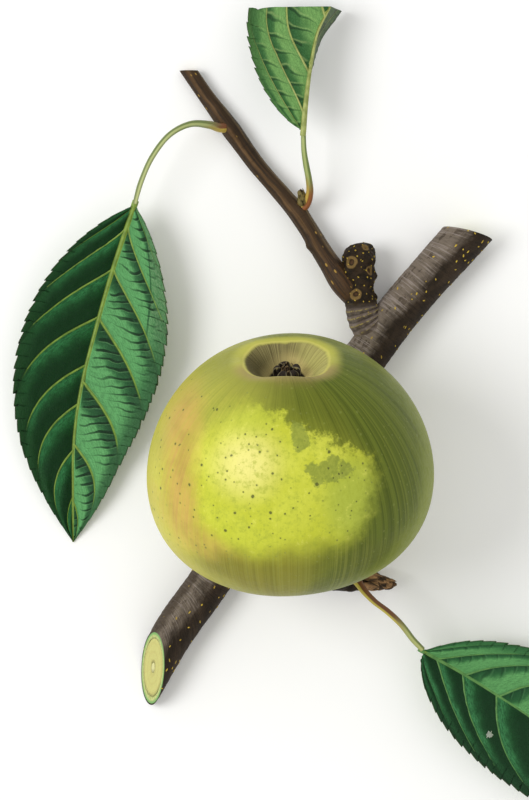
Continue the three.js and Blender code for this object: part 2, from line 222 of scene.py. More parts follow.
def skin_rings():
    """The skin's rings round the apple's own axis: a tapered ball with a flat cheek, then its two hollows."""
    share = 1 - (np.arange(FRUIT["rings"]) + 1) / (FRUIT["rings"] + 1)
    latitude = (np.pi * share - FRUIT["bunching"] * np.sin(2 * np.pi * share))[:, None]
    turn = around(FRUIT["sides"])
    girth = 1 + CHEEK["amount"] * np.cos(turn - CHEEK["turn"])
    girth = girth + OVAL["amount"] * np.cos(2 * (turn - OVAL["turn"]))
    radius = FRUIT["radius"] * np.sin(latitude) ** FRUIT["roundness"] * girth
    radius = radius * (1 - FRUIT["taper"] * np.cos(latitude))
    x, y = radius * np.cos(turn), radius * np.sin(turn)
    z = FRUIT["half_height"] * np.cos(latitude) * (1 + FRUIT["shoulder"] * np.sin(latitude) ** 2)
    z = np.broadcast_to(z, x.shape)
    oval_radius = np.hypot(x, y * BASIN["squeeze"])
    from_rim = np.exp(-(((oval_radius - CORNERS["radius"]) / CORNERS["spread"]) ** 2))
    knobs = CORNERS["height"] * np.cos(CORNERS["count"] * (turn - CORNERS["turn"])) * from_rim
    knobs = knobs * (CORNERS["even"] + (1 - CORNERS["even"]) * np.cos(turn) ** 2)
    z = np.where(z < 0, z + hollow(x, y, **CAVITY), z - hollow(x, y, **BASIN) + knobs)
    rings = np.stack([x, y, z], -1)
    inward = -rings / np.linalg.norm(rings, axis=-1, keepdims=True)
    dip = SWELLS["depth"] * (0.5 + 0.5 * ripple(rings, SWELLS["reach"], 4)) * np.sin(latitude)
    return rings + inward * dip[..., None]


class Wire:
    """A socket of a material's nodes. A sum written on it adds the Math nodes that work it out."""

    def __init__(self, tree, socket=None):
        self.tree = tree
        self.socket = socket

    def node(self, kind, settings, inputs, output=0):
        """Adds a node of any kind, and gives one of its outputs."""
        made = self.tree.nodes.new(kind)
        for name, value in settings.items():
            setattr(made, name, value)
        for name, value in inputs.items():
            if isinstance(value, Wire):
                self.tree.links.new(value.socket, made.inputs[name])
            else:
                made.inputs[name].default_value = value
        return Wire(self.tree, made.outputs[output])

    def maths(self, operation, *others):
        return self.node("ShaderNodeMath", {"operation": operation}, dict(enumerate((self, *others))))

    def vectors(self, operation, *others, output=0):
        inputs = dict(enumerate((self, *others)))
        return self.node("ShaderNodeVectorMath", {"operation": operation}, inputs, output)

    def __add__(self, other):
        return self.maths("ADD", other)

    def __sub__(self, other):
        return self.maths("SUBTRACT", other)

    def __rsub__(self, other):
        return self.node("ShaderNodeMath", {"operation": "SUBTRACT"}, {0: other, 1: self})

    def __mul__(self, other):
        return self.maths("MULTIPLY", other)

    def __pow__(self, other):
        return self.maths("POWER", other)

    def __abs__(self):
        return self.maths("ABSOLUTE")

    __radd__ = __add__
    __rmul__ = __mul__

    def squared(self):
        return self * self

    def fraction(self):
        return self - self.maths("FLOOR")

    def over(self, start, end):
        """0 before start and 1 after end, with a smooth rise between them. start may be the larger."""
        if start > end:
            return 1 - self.over(end, start)
        settings = {"interpolation_type": "SMOOTHSTEP"}
        return self.node("ShaderNodeMapRange", settings, {0: self, 1: start, 2: end, 3: 0.0, 4: 1.0})

    def lean(self, other, share):
        """Between this value and another, by share."""
        return self + (other - self) * share

    def scaled(self, *factors):
        return self.vectors("MULTIPLY", factors)

    def noise(self, scale, detail=4.0, rough=0.55):
        inputs = {"Vector": self, "Scale": scale, "Detail": detail, "Roughness": rough}
        return self.node("ShaderNodeTexNoise", {}, inputs)

    def cells(self, scale, feature="F1", output=0):
        inputs = {"Vector": self, "Scale": scale, "Randomness": 1.0}
        return self.node("ShaderNodeTexVoronoi", {"feature": feature}, inputs, output)

    def part(self, axis):
        return self.node("ShaderNodeSeparateXYZ", {}, {0: self}, "XYZ".index(axis))

    def parts(self):
        return (self.part(axis) for axis in "XYZ")


def paint(code):
    """A colour from its usual six-figure code, as the shaders want it."""
    values = [int(code[i : i + 2], 16) / 255 for i in (0, 2, 4)]
    return (*(v / 12.92 if v <= 0.04045 else ((v + 0.055) / 1.055) ** 2.4 for v in values), 1.0)


def tint(mask, under, over):
    """One colour laid over another where the mask is 1. A colour may be its code, and a plain number over it
    darkens or lightens it by that factor."""
    settings = {"data_type": "RGBA"}
    if isinstance(over, float):
        settings["blend_type"] = "MULTIPLY"
        over = (over, over, over, 1)
    under, over = (paint(colour) if isinstance(colour, str) else colour for colour in (under, over))
    return mask.node("ShaderNodeMix", settings, {0: mask, 6: under, 7: over}, 2)


def coats(colour, *laid):
    """Lays coats on a colour in turn. Each is a mask, and what is laid where it is 1."""
    for mask, over in laid:
        colour = tint(mask, colour, over)
    return colour


def new_finish(name):
    material = bpy.data.materials.new(name)
    material.use_nodes = True
    return material, Wire(material.node_tree)


def value_of(start, name, output="Vector"):
    """A piece's own values. With output "Fac" they are numbers."""
    return start.node("ShaderNodeAttribute", {"attribute_name": name}, {}, output)


def place_of(start):
    return start.node("ShaderNodeTexCoord", {}, {}, "Object")


def surface(material, colour, roughness, height, depth, gloss=0.5, coat=0.0):
    """Joins colour, roughness and a height, with its depth in millimetres, to the material."""
    shader = material.node_tree.nodes["Principled BSDF"]
    link = material.node_tree.links.new
    link(colour.socket, shader.inputs["Base Color"])
    if isinstance(roughness, Wire):
        link(roughness.socket, shader.inputs["Roughness"])
    else:
        shader.inputs["Roughness"].default_value = roughness
    shader.inputs["Specular IOR Level"].default_value = gloss
    shader.inputs["Coat Weight"].default_value = coat
    shader.inputs["Coat Roughness"].default_value = 0.25
    relief = height.node("ShaderNodeBump", {}, {"Strength": 1.0, "Distance": depth * MM, "Height": height})
    link(relief.socket, shader.inputs["Normal"])
    return material


class Skin:
    """What the steps of the apple's skin share: where a point is, seen from above with the outline at about
    1, and round the apple's own axis; streaks and clouds; and the sides painted dark, partly the skin's own
    green and partly painted shade."""

    def __init__(self, start):
        span = (1 / (SKIN_SPAN * MM),) * 3
        facing = place_of(start).vectors("SUBTRACT", tuple(PLAN + SKIN_MIDDLE * MM)).scaled(*span)
        self.east, self.north, self.up = east, north, up = tuple(facing.parts())
        self.own = own = value_of(start, "own")
        own_x, own_y, own_z = own.parts()
        flat = own.scaled(1, 1, 0)
        self.round_it = round_it = flat.vectors("NORMALIZE")
        self.streaks = round_it.noise(26, 5, 0.7)
        self.fine_streaks = round_it.noise(75, 3, 0.6)
        self.cloud = own.noise(0.09, 5, 0.6)
        self.speckle = own.noise(0.9, 5, 0.65)
        self.wash = own.noise(0.45, 6, 0.72)
        self.soft = soft = own.noise(0.12, 3)
        self.ragged = ragged = (own.noise(0.22, 7, 0.72) - 0.5) * 0.42 + (own.noise(0.8, 4, 0.7) - 0.5) * 0.12

        # The sunny side ends in a ragged border towards the eye and in soft ones to the left, right and foot.
        # Past these borders the skin is painted dark: partly its own green, partly painted shade away from
        # the lamp.
        shaded_top = east * 0.44 + north * 0.90 - 0.245
        shaded_right = east - 0.50 + (north + 0.10).squared() * 0.85
        shaded_foot = -0.57 - north + (soft - 0.5) * 0.16 + east.over(-0.2, 0.6) * 0.08
        crisp = (shaded_top + ragged).over(-0.01, 0.07)
        faded = (shaded_top + ragged * 0.25).over(-0.10, 0.20)
        self.mottled = (crisp * 0.75 + faded * 0.25).lean(faded, east.over(-0.08, -0.42))
        self.soft_side = (shaded_right + ragged * 0.45).over(-0.05, 0.15)
        self.foot = shaded_foot.over(-0.09, 0.13)
        self.shadowy = self.mottled.maths("MAXIMUM", self.soft_side).maths("MAXIMUM", self.foot)

        # How far out a point is in the eye's basin, and the russet that runs out from the stalk.
        self.out_x, self.out_y = own_x - BASIN["offset"], own_y
        self.far = (self.out_x.squared() + own_y.squared()) ** 0.5
        square = BASIN["square"]
        oval = (abs(self.out_x) ** square + abs(own_y * BASIN["squeeze"]) ** square) ** (1 / square)
        self.wavy = oval + (round_it.noise(1.5, 1) - 0.5) * 0.9 + (own.noise(0.5, 3) - 0.5) * 0.7
        self.inner = self.wavy.over(12.0, 10.8)
        self.at_eye = own_z.over(0.0, 4.0)
        self.rays = round_it.noise(30, 4, 0.65)
        reach = flat.vectors("LENGTH", output=1)
        self.russet = (reach + (self.streaks - 0.5) * 17).over(16.0, 9.0) * own_z.over(-4.0, -9.0)


def sunny_side(skin):
    """Yellow-green with paler and limier clouds, a pale painted highlight left of its middle, olive at its
    upper left, and an orange blush on its left.
    """
    east, north, soft, streaks = skin.east, skin.north, skin.soft, skin.streaks
    # Painted highlight: a pale yellow spot where the lamp on the left shines on the skin.
    painted_highlight = ((east + 0.30).squared() + (north - 0.02).squared()) ** 0.5
    right_lime = (east - 0.42).squared() * 2.0 + (north + 0.22).squared()
    upper_lime = (east + 0.28).squared() + (north - 0.36).squared() * 3
    olive_corner = (north * 0.84 - east * 0.54 - 0.56 + skin.ragged * 0.2).over(-0.16, 0.08)
    blush = east + 0.77 + (soft - 0.5) * 0.14 + north.squared() * -0.12
    blush = abs(blush).over(0.21, 0.02) * abs(north + 0.02).over(0.80, 0.36)
    low_left = abs(east * 0.66 + north * 0.75 + 0.80).over(0.17, 0.03) * east.over(0.02, -0.25)
    blush = blush.maths("MAXIMUM", low_left * 0.8) * (0.6 + 0.4 * streaks.over(0.32, 0.62))
    return coats(
        tint(skin.cloud.over(0.38, 0.66), "bdc235", "cbcf48"),
        ((north * -1).over(-0.1, 0.6) * 0.7, "bcc336"),
        (painted_highlight.over(0.34, 0.02) * 0.8, "ece288"),
        (right_lime.over(0.14, 0.0) * 0.75, "a5b344"),
        (upper_lime.over(0.10, 0.0) * 0.6, "b2bc3e"),
        (skin.wash.over(0.48, 0.66) * 0.55, "a3ad36"),
        (skin.wash.over(0.44, 0.30) * 0.5, "dcdc62"),
        (skin.speckle.over(0.52, 0.72) * 0.22, "9da633"),
        (olive_corner * 0.85, tint(streaks.over(0.35, 0.65), "a8a440", "8f9338")),
        (blush, tint(soft.over(0.35, 0.65), "c3a250", "b19446")),
    )


def shade_side_and_painted_shade(skin, colour):
    """Dark olive with fine streaks towards the eye and down the right, and browner at the foot: partly the
    skin's own green, partly painted shade on the sides away from the lamp.
    """
    east, north, streaks, fine = skin.east, skin.north, skin.streaks, skin.fine_streaks
    dark_top = coats(
        tint(streaks.over(0.35, 0.65), "646d1c", "4f580d"),
        (fine.over(0.46, 0.62) * 0.5, "808728"),
        (north.over(0.15, 0.55) * east.over(0.12, -0.38) * 0.85, "9b9c40"),
    )
    dark_right = coats(
        tint(streaks.over(0.38, 0.62), "606d1c", "49560c"),
        (fine.over(0.46, 0.62) * 0.5, "788228"),
    )
    dark_foot = coats(
        tint(streaks.over(0.42, 0.60) * 0.6, "807c28", "6b671c"),
        (east.over(-0.05, 0.32), "576018"),
        (fine.over(0.46, 0.60) * 0.38, "9c9e42"),
    )
    foot = skin.foot * 0.95 * (1 - skin.soft_side * 0.2)
    return coats(colour, (skin.mottled, dark_top), (skin.soft_side, dark_right), (foot, dark_foot))


def rubbed_patches(skin, colour):
    """Grey-green patches where the skin was rubbed while it grew."""
    for x, y, wide, high in RUBBED:
        near = ((skin.east - x) * (1 / wide)) ** 2 + ((skin.north - y) * (1 / high)) ** 2
        frayed = (skin.own.noise(0.30, 3, 0.6) - 0.5) * 4.2 + (skin.own.noise(1.1, 4, 0.7) - 0.5) * 1.6
        patch = (near + frayed).over(1.35, 0.75) * 0.8 * skin.up.over(0.0, 0.2)
        colour = tint(patch, colour, tint(skin.speckle.over(0.4, 0.6), "8b953b", "7c8834"))
    return colour


def rim_light_and_underside(skin, colour):
    """Paler towards the outline, as painted reflected light, and paler underneath, where leaves hid the skin.
    """
    east, north = skin.east, skin.north
    rim = (east.squared() + north.squared()) ** 0.5
    # Painted reflected light: the skin is paler round its outline as seen from above.
    edge = (rim + (skin.soft - 0.5) * 0.1).over(0.84, 1.0)
    rim_light_colour = coats(
        tint(east.over(-0.5, 0.5), "c0b94c", "86902f"),
        (north.over(-0.4, -0.95) * east.over(-0.9, 0.2), "8b9232"),
        (north.over(0.5, 0.95), "a9ab50"),
    )
    below = tint(skin.cloud.over(0.35, 0.7), "979f42", "a9aa4a")
    return coats(colour, (edge * 0.85, rim_light_colour), (skin.up.over(0.05, -0.35), below))


def skin_dots(skin, colour):
    """Fine ribs of colour from stalk to eye, then the breathing dots. Gives some dots for the relief too.
    Ribs and dots take a darker copy of their colour where the skin is painted dark.
    """
    # sunny is 1 outside the dark, which is partly the skin's own green and partly painted shade.
    sunny = 1 - skin.shadowy
    colour = coats(
        colour,
        (skin.fine_streaks.over(0.46, 0.72) * (0.15 + 0.35 * skin.shadowy), 0.66),
        (skin.streaks.over(0.52, 0.8) * 0.22, 0.75),
    )
    warp = (skin.own.noise(1.9, 3) - 0.5) * 0.12
    crowd = 0.62 + 0.38 * (skin.north * -1).over(-0.45, 0.35)
    for scale, largest, strength in DOTS:
        dots = skin.own.cells(scale)
        pick = skin.own.cells(scale, output=1).part("X")
        chosen = (pick - 1 + crowd).over(0.0, 0.05)
        speck = (dots + warp - largest * 0.45 - largest * 0.5 * pick).over(0.03, -0.02) * chosen
        halo = (dots - largest).over(0.10, 0.0) * chosen
        colour = coats(
            colour,
            (halo * sunny * 0.22, "95a03c"),
            (speck * (0.25 + 0.65 * sunny) * strength, tint(sunny, "939a50", "4d5224")),
        )
    lucky = skin.own.cells(0.55, output=1).part("Y").over(0.6, 0.65)
    fleck = (skin.own.cells(0.55) - 0.08).over(0.03, -0.02) * lucky
    return tint(fleck * 0.45, colour, tint(sunny, "8f9646", "757c30")), speck, fleck


def eye_basin(skin, colour):
    """Round the eye: a yellow lip, a grey-brown wall with rays, painted light where it faces the lamp and
    dark where it turns away, a tan floor, and a cup in its middle painted near black as shade.
    """
    out_x, out_y, far, wavy, rays = skin.out_x, skin.out_y, skin.far, skin.wavy, skin.rays
    # Painted light and shade: the wall and floor are lighter on the side of the basin that faces the lamp.
    lamp_facing_wall = out_x.over(-2.0, 6.0)
    front = (out_y * -1).over(1.0, 6.0)
    floor = tint(rays.over(0.5, 0.7) * 0.4, "cdbb79", "8d7a4e")
    wall = coats(
        tint(lamp_facing_wall, "5f5834", "b4ae66"),
        (out_y.over(3.0, 8.0) * (1 - lamp_facing_wall * 0.5) * 0.8, "8f8656"),
        (rays.over(0.44, 0.60) * (0.7 - 0.35 * lamp_facing_wall), "4c4429"),
        (rays.over(0.42, 0.34) * 0.4, "c0b57a"),
        (far.over(8.2, 5.2) * (0.45 + 0.55 * out_x.over(-2.5, 3.0)), floor),
    )
    lip = wavy.over(16.5, 12.6) * wavy.over(10.4, 12.0)
    under_lip = wavy.over(20.0, 13.0) * wavy.over(11.5, 13.0) * front * abs(out_x - 2.0).over(9.0, 3.0)
    bright_edge = wavy.over(12.6, 11.8) * wavy.over(10.9, 11.6)
    return coats(
        colour,
        (lip * skin.at_eye * 0.8, tint(front, "bbb953", "a3925a")),
        (under_lip * skin.at_eye * 0.6, tint(rays.over(0.45, 0.6), "8b7d42", "6f6334")),
        (bright_edge * skin.at_eye * 0.8, "c5bf62"),
        (skin.inner * skin.at_eye, wall),
        # Painted shade: the deep cup of the eye is painted near black.
        (far.over(5.3, 4.7) * skin.at_eye, "1c150d"),
    )


def apple_skin():
    material, start = new_finish("apple_skin")
    skin = Skin(start)
    colour = rubbed_patches(skin, shade_side_and_painted_shade(skin, sunny_side(skin)))
    colour, speck, fleck = skin_dots(skin, rim_light_and_underside(skin, colour))
    colour = eye_basin(skin, colour)
    colour = tint(skin.russet * 0.85, colour, tint(skin.speckle.over(0.4, 0.6), "8f8448", "a08a50"))
    rough = 0.40 + 0.10 * skin.cloud + 0.12 * skin.speckle.over(0.4, 0.7)
    rough = rough + skin.inner * skin.at_eye * 0.3 + skin.russet * 0.25
    height = skin.own.noise(0.5, 3, 0.5) * 0.5 + skin.speckle * 0.10 + speck * -0.3 + fleck * 0.15
    height = height + skin.rays * skin.inner * skin.at_eye * 0.9 + skin.russet * skin.speckle * 0.5
    return surface(material, colour, rough, height, 0.24, gloss=0.18, coat=0.03)


skin_places = skin_rings()
grown("apple_flesh_and_skin", apple_to_plan(skin_places), apple_skin(), "skin", "fruit", own=skin_places)

# ------------------------------------------------------------
# The eye. Five dried sepals curl over a cup, painted near black as shade, with the shrivelled stamens of the
# flower in it. They are thin brown papery blades, set round a circle at the bottom of the basin.
EYE_BASE = np.array((BASIN["offset"], 0.0, FRUIT["half_height"] - 8.5))
SEPAL = {
    "line": [(2.4, 0.2), (3.3, 1.0), (3.9, 2.1), (3.8, 3.2), (3.2, 3.8), (2.4, 3.9), (1.9, 3.4)],
    "widths": (1.4, 1.65, 1.75, 1.5, 1.1, 0.65, 0.12),
    "thickness": 0.16,
}
STAMEN = {
    "line": [(1.0, 0.2), (1.3, 1.7), (1.5, 3.1), (1.1, 4.3), (0.7, 4.6)],
    "widths": (0.16, 0.14, 0.12, 0.16, 0.22),
    "thickness": 0.12,
    "count": 12,
    "sides": 8,
}
UP = np.array((0.0, 0.0, 1.0))


def unit(vectors):
    return vectors / np.linalg.norm(vectors, axis=-1, keepdims=True)


class Path:
    """A smooth line through points of x, y, z and anything else that changes along it."""

    def __init__(self, points):
        points = np.array(points, float)
        self.knots = np.vstack([2 * points[0] - points[1], points, 2 * points[-1] - points[-2]])
        self.steps = np.linalg.norm(np.diff(self.knots[:, :3], axis=0), axis=1) ** 0.5
        self.marks = np.linspace(0, 1, 500)
        legs = np.linalg.norm(np.diff(self.at(self.marks)[:, :3], axis=0), axis=1)
        self.walked = np.concatenate([[0], np.cumsum(legs)])
        self.length = self.walked[-1]

    def at(self, t):
        t = np.clip(np.asarray(t, float), 0, 1) * (len(self.knots) - 3)
        k = np.minimum(t.astype(int), len(self.knots) - 4)
        w = (t - k)[..., None]
        a, b, c, d = (self.knots[k + i] for i in range(4))
        before, here, after = (self.steps[k + i][..., None] for i in range(3))
        leave = ((b - a) / before - (c - a) / (before + here) + (c - b) / here) * here
        arrive = ((c - b) / here - (d - b) / (here + after) + (d - c) / after) * here
        bend = (3 * (c - b) - 2 * leave - arrive) * w**2 + (2 * (b - c) + leave + arrive) * w**3
        return b + leave * w + bend

    def even(self, shares):
        """The t of shares of its length."""
        return np.interp(shares, self.walked / self.length, self.marks)

    def distance(self, t):
        return np.interp(t, self.marks, self.walked)

    def frames(self, t):
        """Its points there, and the directions along it, to its right and up from it."""
        t = np.asarray(t, float)
        ahead = self.at(np.minimum(t + 1e-4, 1)) - self.at(np.maximum(t - 1e-4, 0))
        along = unit(ahead[..., :3])
        right = unit(np.cross(along, UP))
        return self.at(t), along, right, np.cross(right, along)


def petal(name, line, widths, thickness, count=24, sides=12, hug=None):
    """A thin pointed blade in the x-z plane that follows the line, for a tree to set in place. hug bends it
    round the upright axis. Its own values say where a point is: across, along, and its height."""
    path = Path([(x, 0.0, z, w) for (x, z), w in zip(line, widths)])
    t = np.linspace(0, 1, count)
    places = path.at(t)
    width = places[:, 3:4]
    ahead = unit(np.gradient(places[:, :3], axis=0))
    face = np.stack([-ahead[:, 2], 0 * t, ahead[:, 0]], -1)
    turn = around(sides)
    across = np.cos(turn) * width
    curl = 0.12 / width.clip(0.3) if hug is None else hug
    thick = np.sin(turn) * thickness + curl * across**2
    rings = places[:, None, :3] + thick[..., None] * face[:, None]
    rings[..., 1] += across
    own = np.stack([across / width, np.broadcast_to(t[:, None], across.shape), rings[..., 2]], -1)
    points, faces = loft(rings)
    return piece(name, points - PLAN / MM, faces, own=loft(own)[0])


class Grower:
    """A Geometry Nodes tree that is built in steps. Its inputs are named, and run() sets them."""

    def __init__(self, title, **inputs):
        self.tree = bpy.data.node_groups.new(title, "GeometryNodeTree")
        for way in ("INPUT", "OUTPUT"):
            self.tree.interface.new_socket("Geometry", in_out=way, socket_type="NodeSocketGeometry")
        self.inputs = {}
        for name, kind in (*inputs.items(), ("Finish", "Material")):
            made = self.tree.interface.new_socket(name, in_out="INPUT", socket_type="NodeSocket" + kind)
            self.inputs[name] = made.identifier

    def node(self, kind, settings, inputs):
        """Adds a node. An input is a value, a (node, output) pair, or @ and the name of a tree input."""
        made = self.tree.nodes.new(kind)
        for name, value in settings.items():
            setattr(made, name, value)
        for name, value in inputs.items():
            if isinstance(value, str) and value.startswith("@"):
                source = self.tree.nodes.new("NodeGroupInput")
                self.tree.links.new(source.outputs[value[1:]], made.inputs[name])
            elif isinstance(value, tuple) and isinstance(value[0], bpy.types.Node):
                self.tree.links.new(value[0].outputs[value[1]], made.inputs[name])
            else:
                made.inputs[name].default_value = value
        return made

    def maths(self, operation, *values):
        return self.node("ShaderNodeMath", {"operation": operation}, dict(enumerate(values)))

    def copies(self, points, shape, turn, size):
        """Sets a copy of the shape on each point."""
        inputs = {"Points": points, "Instance": shape, "Rotation": turn, "Scale": size}
        return self.node("GeometryNodeInstanceOnPoints", {}, inputs)

    def end(self, last):
        """Makes everything real, gives it the finish asked for, and closes the tree."""
        real = self.node("GeometryNodeRealizeInstances", {}, {0: (last, 0)})
        smooth = self.node("GeometryNodeSetShadeSmooth", {}, {0: (real, 0)})
        dressed = self.node("GeometryNodeSetMaterial", {}, {0: (smooth, 0), "Material": "@Finish"})
        out = self.tree.nodes.new("NodeGroupOutput")
        self.tree.links.new(dressed.outputs[0], out.inputs[0])
        return self

    def run(self, made, **values):
        """Runs the tree on a piece, whose mesh becomes the plain result."""
        modifier = made.modifiers.new("grow", "NODES")
        modifier.node_group = self.tree
        for name, identifier in self.inputs.items():
            modifier[identifier] = values[name]
        bpy.context.view_layer.update()
        result = bpy.data.meshes.new_from_object(made.evaluated_get(bpy.context.evaluated_depsgraph_get()))
        result.materials.clear()
        result.materials.append(values["Finish"])
        made.modifiers.clear()
        made.data = result
        return made


def whorl_grower():
    """Sets copies of a blade round and along an upright axis, each one turned on and a little smaller."""
    grow = Grower(
        "whorl", Count="Int", Rise="Float", Turn="Float", First="Float", Shrink="Float", Askew="Float",
        Seed="Int", Place="Vector", Lean="Vector",
    )
    offset = grow.node("ShaderNodeCombineXYZ", {}, {2: "@Rise"})
    line = grow.node("GeometryNodeMeshLine", {}, {"Count": "@Count", "Offset": (offset, 0)})
    index = grow.node("GeometryNodeInputIndex", {}, {})
    turned = grow.maths("MULTIPLY_ADD", (index, 0), "@Turn", "@First")
    spin = grow.node("ShaderNodeCombineXYZ", {}, {2: (turned, 0)})
    less = grow.maths("MULTIPLY", "@Askew", -1.0)
    low = grow.node("ShaderNodeCombineXYZ", {}, dict.fromkeys(range(3), (less, 0)))
    high = grow.node("ShaderNodeCombineXYZ", {}, dict.fromkeys(range(3), "@Askew"))
    chance = {"data_type": "FLOAT_VECTOR"}
    jitter = grow.node("FunctionNodeRandomValue", chance, {0: (low, 0), 1: (high, 0), "Seed": "@Seed"})
    total = grow.node("ShaderNodeVectorMath", {"operation": "ADD"}, {0: (spin, 0), 1: (jitter, 0)})
    turn = grow.node("FunctionNodeEulerToRotation", {}, {0: (total, 0)})
    smaller = grow.maths("POWER", "@Shrink", (index, 0))
    placed = grow.copies((line, 0), "@Geometry", (turn, 0), (smaller, 0))
    where = {0: (placed, 0), "Translation": "@Place", "Rotation": "@Lean"}
    moved = grow.node("GeometryNodeTransform", {}, where)
    return grow.end(moved)


def dried_finish(name, dark, light, edge):
    """Papery brown, with fine ribs along it and a pale dry edge."""
    material, start = new_finish(name)
    own = value_of(start, "own")
    grain = own.scaled(3.2, 0.7, 0.2).noise(2.2, 5, 0.65)
    blot = place_of(start).noise(900, 4, 0.6)
    rim = abs(own.part("X")).over(0.66, 0.95).maths("MAXIMUM", own.part("Y").over(0.84, 0.97))
    colour = coats(
        tint(grain.over(0.35, 0.65), dark, light),
        (blot.over(0.45, 0.7) * 0.5, 0.55),
        (rim * own.part("Y").over(0.15, 0.4) * 0.85, edge),
    )
    return surface(material, colour, 0.75 + 0.15 * grain, grain + blot * 0.4, 0.18, gloss=0.3)


whorl = whorl_grower()
eye_place = tuple(apple_to_plan(EYE_BASE) * MM + PLAN)
apple_turn = (FRUIT["pitch"], 0.0, FRUIT["yaw"])
sepals = whorl.run(
    petal("eye_sepals", **SEPAL),
    Count=5, Rise=0.0, Turn=math.radians(72), First=math.radians(18), Shrink=0.97, Askew=0.22, Seed=3,
    Place=eye_place, Lean=apple_turn, Finish=dried_finish("dry_sepal", "150f0a", "33271b", "857d5f"),
)
settle(sepals, "dried", "calyx")
stamens = whorl.run(
    petal("eye_stamens", **STAMEN),
    Count=11, Rise=0.0, Turn=math.radians(33), First=0.2, Shrink=0.985, Askew=0.3, Seed=8,
    Place=eye_place, Lean=apple_turn, Finish=dried_finish("dry_stamen", "2b1e12", "6a5236", "8f7a52"),
)
settle(stamens, "dried")

# ------------------------------------------------------------
# The branch. A young branch cut at both ends. Brown bark, with a grey sheen painted on its side towards
# the lamp as a highlight, wraps a green bast, then pale wood and a thread of pith. It lies on a narrow flat
# side.
BRANCH_ENDS = (6.0, 6.5)
BRANCH_LINE = [
    (-32.1, -77.1), (-25.2, -65.5), (-16.4, -53.1), (7.6, -18.7), (36.7, 23.0), (55.2, 44.3), (58.3, 47.8),
]
BRANCH_SIDES = 96
BRANCH_REST = math.cos(math.pi / 12)
BARK_THICKNESS = 1.3
PITH_RADIUS = 0.75
LAYER_GAP = 0.12
LOWER_CUT = {"across": 1.25, "up": -1.1, "fade": 30.0}
UPPER_CUT = {"across": 0.5, "up": 0.15, "fade": 16.0}
BARK_WRINKLE = 0.05
BRANCH_SWELL = 0.16

branch_path = Path([(x, y, 0.0) for x, y in BRANCH_LINE])


def round_rings(reach, turn):
    """Across and up, for rings that turn clockwise seen along the line."""
    return reach * np.cos(turn), -reach * np.sin(turn)


def branch_rings(shares, radius, bumps=None):
    """Rings of one layer of the branch, and their places in the branch laid straight. radius takes the
    bark's radius at each ring."""
    outer = BRANCH_ENDS[0] + (BRANCH_ENDS[1] - BRANCH_ENDS[0]) * shares
    centre, along, right, up = branch_path.frames(branch_path.even(shares))
    centre = centre.copy()
    centre[:, 2] = outer * BRANCH_REST
    reach = radius(outer)[:, None]
    x, y = round_rings(reach, around(BRANCH_SIDES))
    length = branch_path.length
    walked = shares[:, None] * length
    own = np.stack([x, y, np.broadcast_to(walked, x.shape)], -1)
    if bumps:
        grow = 1 + bumps(own) / reach
        x, y = x * grow, y * grow
    start_fade = np.clip(1 - walked / LOWER_CUT["fade"], 0, 1)
    end_fade = np.clip(1 - (length - walked) / UPPER_CUT["fade"], 0, 1)
    slant = end_fade * (UPPER_CUT["across"] * x + UPPER_CUT["up"] * y)
    slant = slant - start_fade * (LOWER_CUT["across"] * x + LOWER_CUT["up"] * y)
    rings = centre[:, None] + x[..., None] * right[:, None] + y[..., None] * up[:, None]
    rings = rings + slant[..., None] * along[:, None]
    rings[..., 2] = np.maximum(rings[..., 2], 0.0)
    return rings, own


def bark_bumps(own):
    """Cross wrinkles and slow swells of the bark, never further out than the plain round."""
    wrinkles = ripple(own, (6, 6, 0.8), 11) * BARK_WRINKLE
    swells = ripple(own, (14, 14, 26), 12) * BRANCH_SWELL
    return np.minimum(wrinkles + swells - 0.12, 0.12)


def bark_finish():
    """Bark with cross wrinkles, a grey sheen painted on the side towards the lamp as a highlight, and ochre
    breathing pores. depth is how far a point is inside the bark, where a cut shows the layers."""
    material, start = new_finish("branch_bark")
    brown = "3a2e22"
    own = value_of(start, "own")
    depth = value_of(start, "depth", "Fac")
    wrinkle = own.scaled(0.14, 0.14, 1.1).noise(1.0, 6, 0.66)
    fine = own.scaled(0.35, 0.35, 3.0).noise(1.0, 5, 0.6)
    patch = own.scaled(0.20, 0.20, 0.13).noise(1.0, 6, 0.68)
    flakes = own.scaled(0.55, 0.55, 0.22).noise(1.0, 5, 0.66)
    stripes = own.scaled(0.09, 0.09, 1.7).noise(1.0, 4, 0.6)
    # Painted highlight: side marks the bark's half towards the lamp, where a grey sheen and pale stripes are
    # laid.
    side = (own.part("X") + (patch - 0.5) * 9).over(2.4, -3.0)
    low_left = (own.part("X") + (patch - 0.5) * 5).over(-2.6, -4.4) * own.part("Z").over(80.0, 55.0)
    squeezed = own.scaled(1, 1, 0.6)
    pores = squeezed.cells(0.42)
    chosen = squeezed.cells(0.42, output=1).part("Z")
    streak = own.scaled(1.4, 1.4, 0.3).noise(1.6, 5, 0.6)
    bast = tint(streak.over(0.4, 0.65), "bfc583", "a3ad66")
    colour = coats(
        tint(patch.over(0.35, 0.65), brown, "261d13"),
        (side * 0.85, "7d7164"),
        (flakes.over(0.56, 0.60) * side * 0.65, brown),
        (wrinkle.over(0.52, 0.62) * 0.6, 0.5),
        (wrinkle.over(0.40, 0.30) * side * 0.4, "a59a90"),
        (stripes.over(0.54, 0.61) * side * 0.6, "9b9089"),
        (low_left * 0.75, brown),
        (fine.over(0.52, 0.66) * 0.5, 0.55),
        ((pores - 0.10).over(0.05, -0.02) * chosen.over(0.62, 0.68) * 0.85, "a98f3f"),
        (depth.over(0.22, 0.34), tint(depth.over(0.75, 0.40), bast, "7ba864")),
    )
    rough = 0.66 + 0.2 * fine - side * 0.05
    return surface(material, colour, rough, wrinkle * -1.0 + fine * -0.4, 0.45, gloss=0.2)


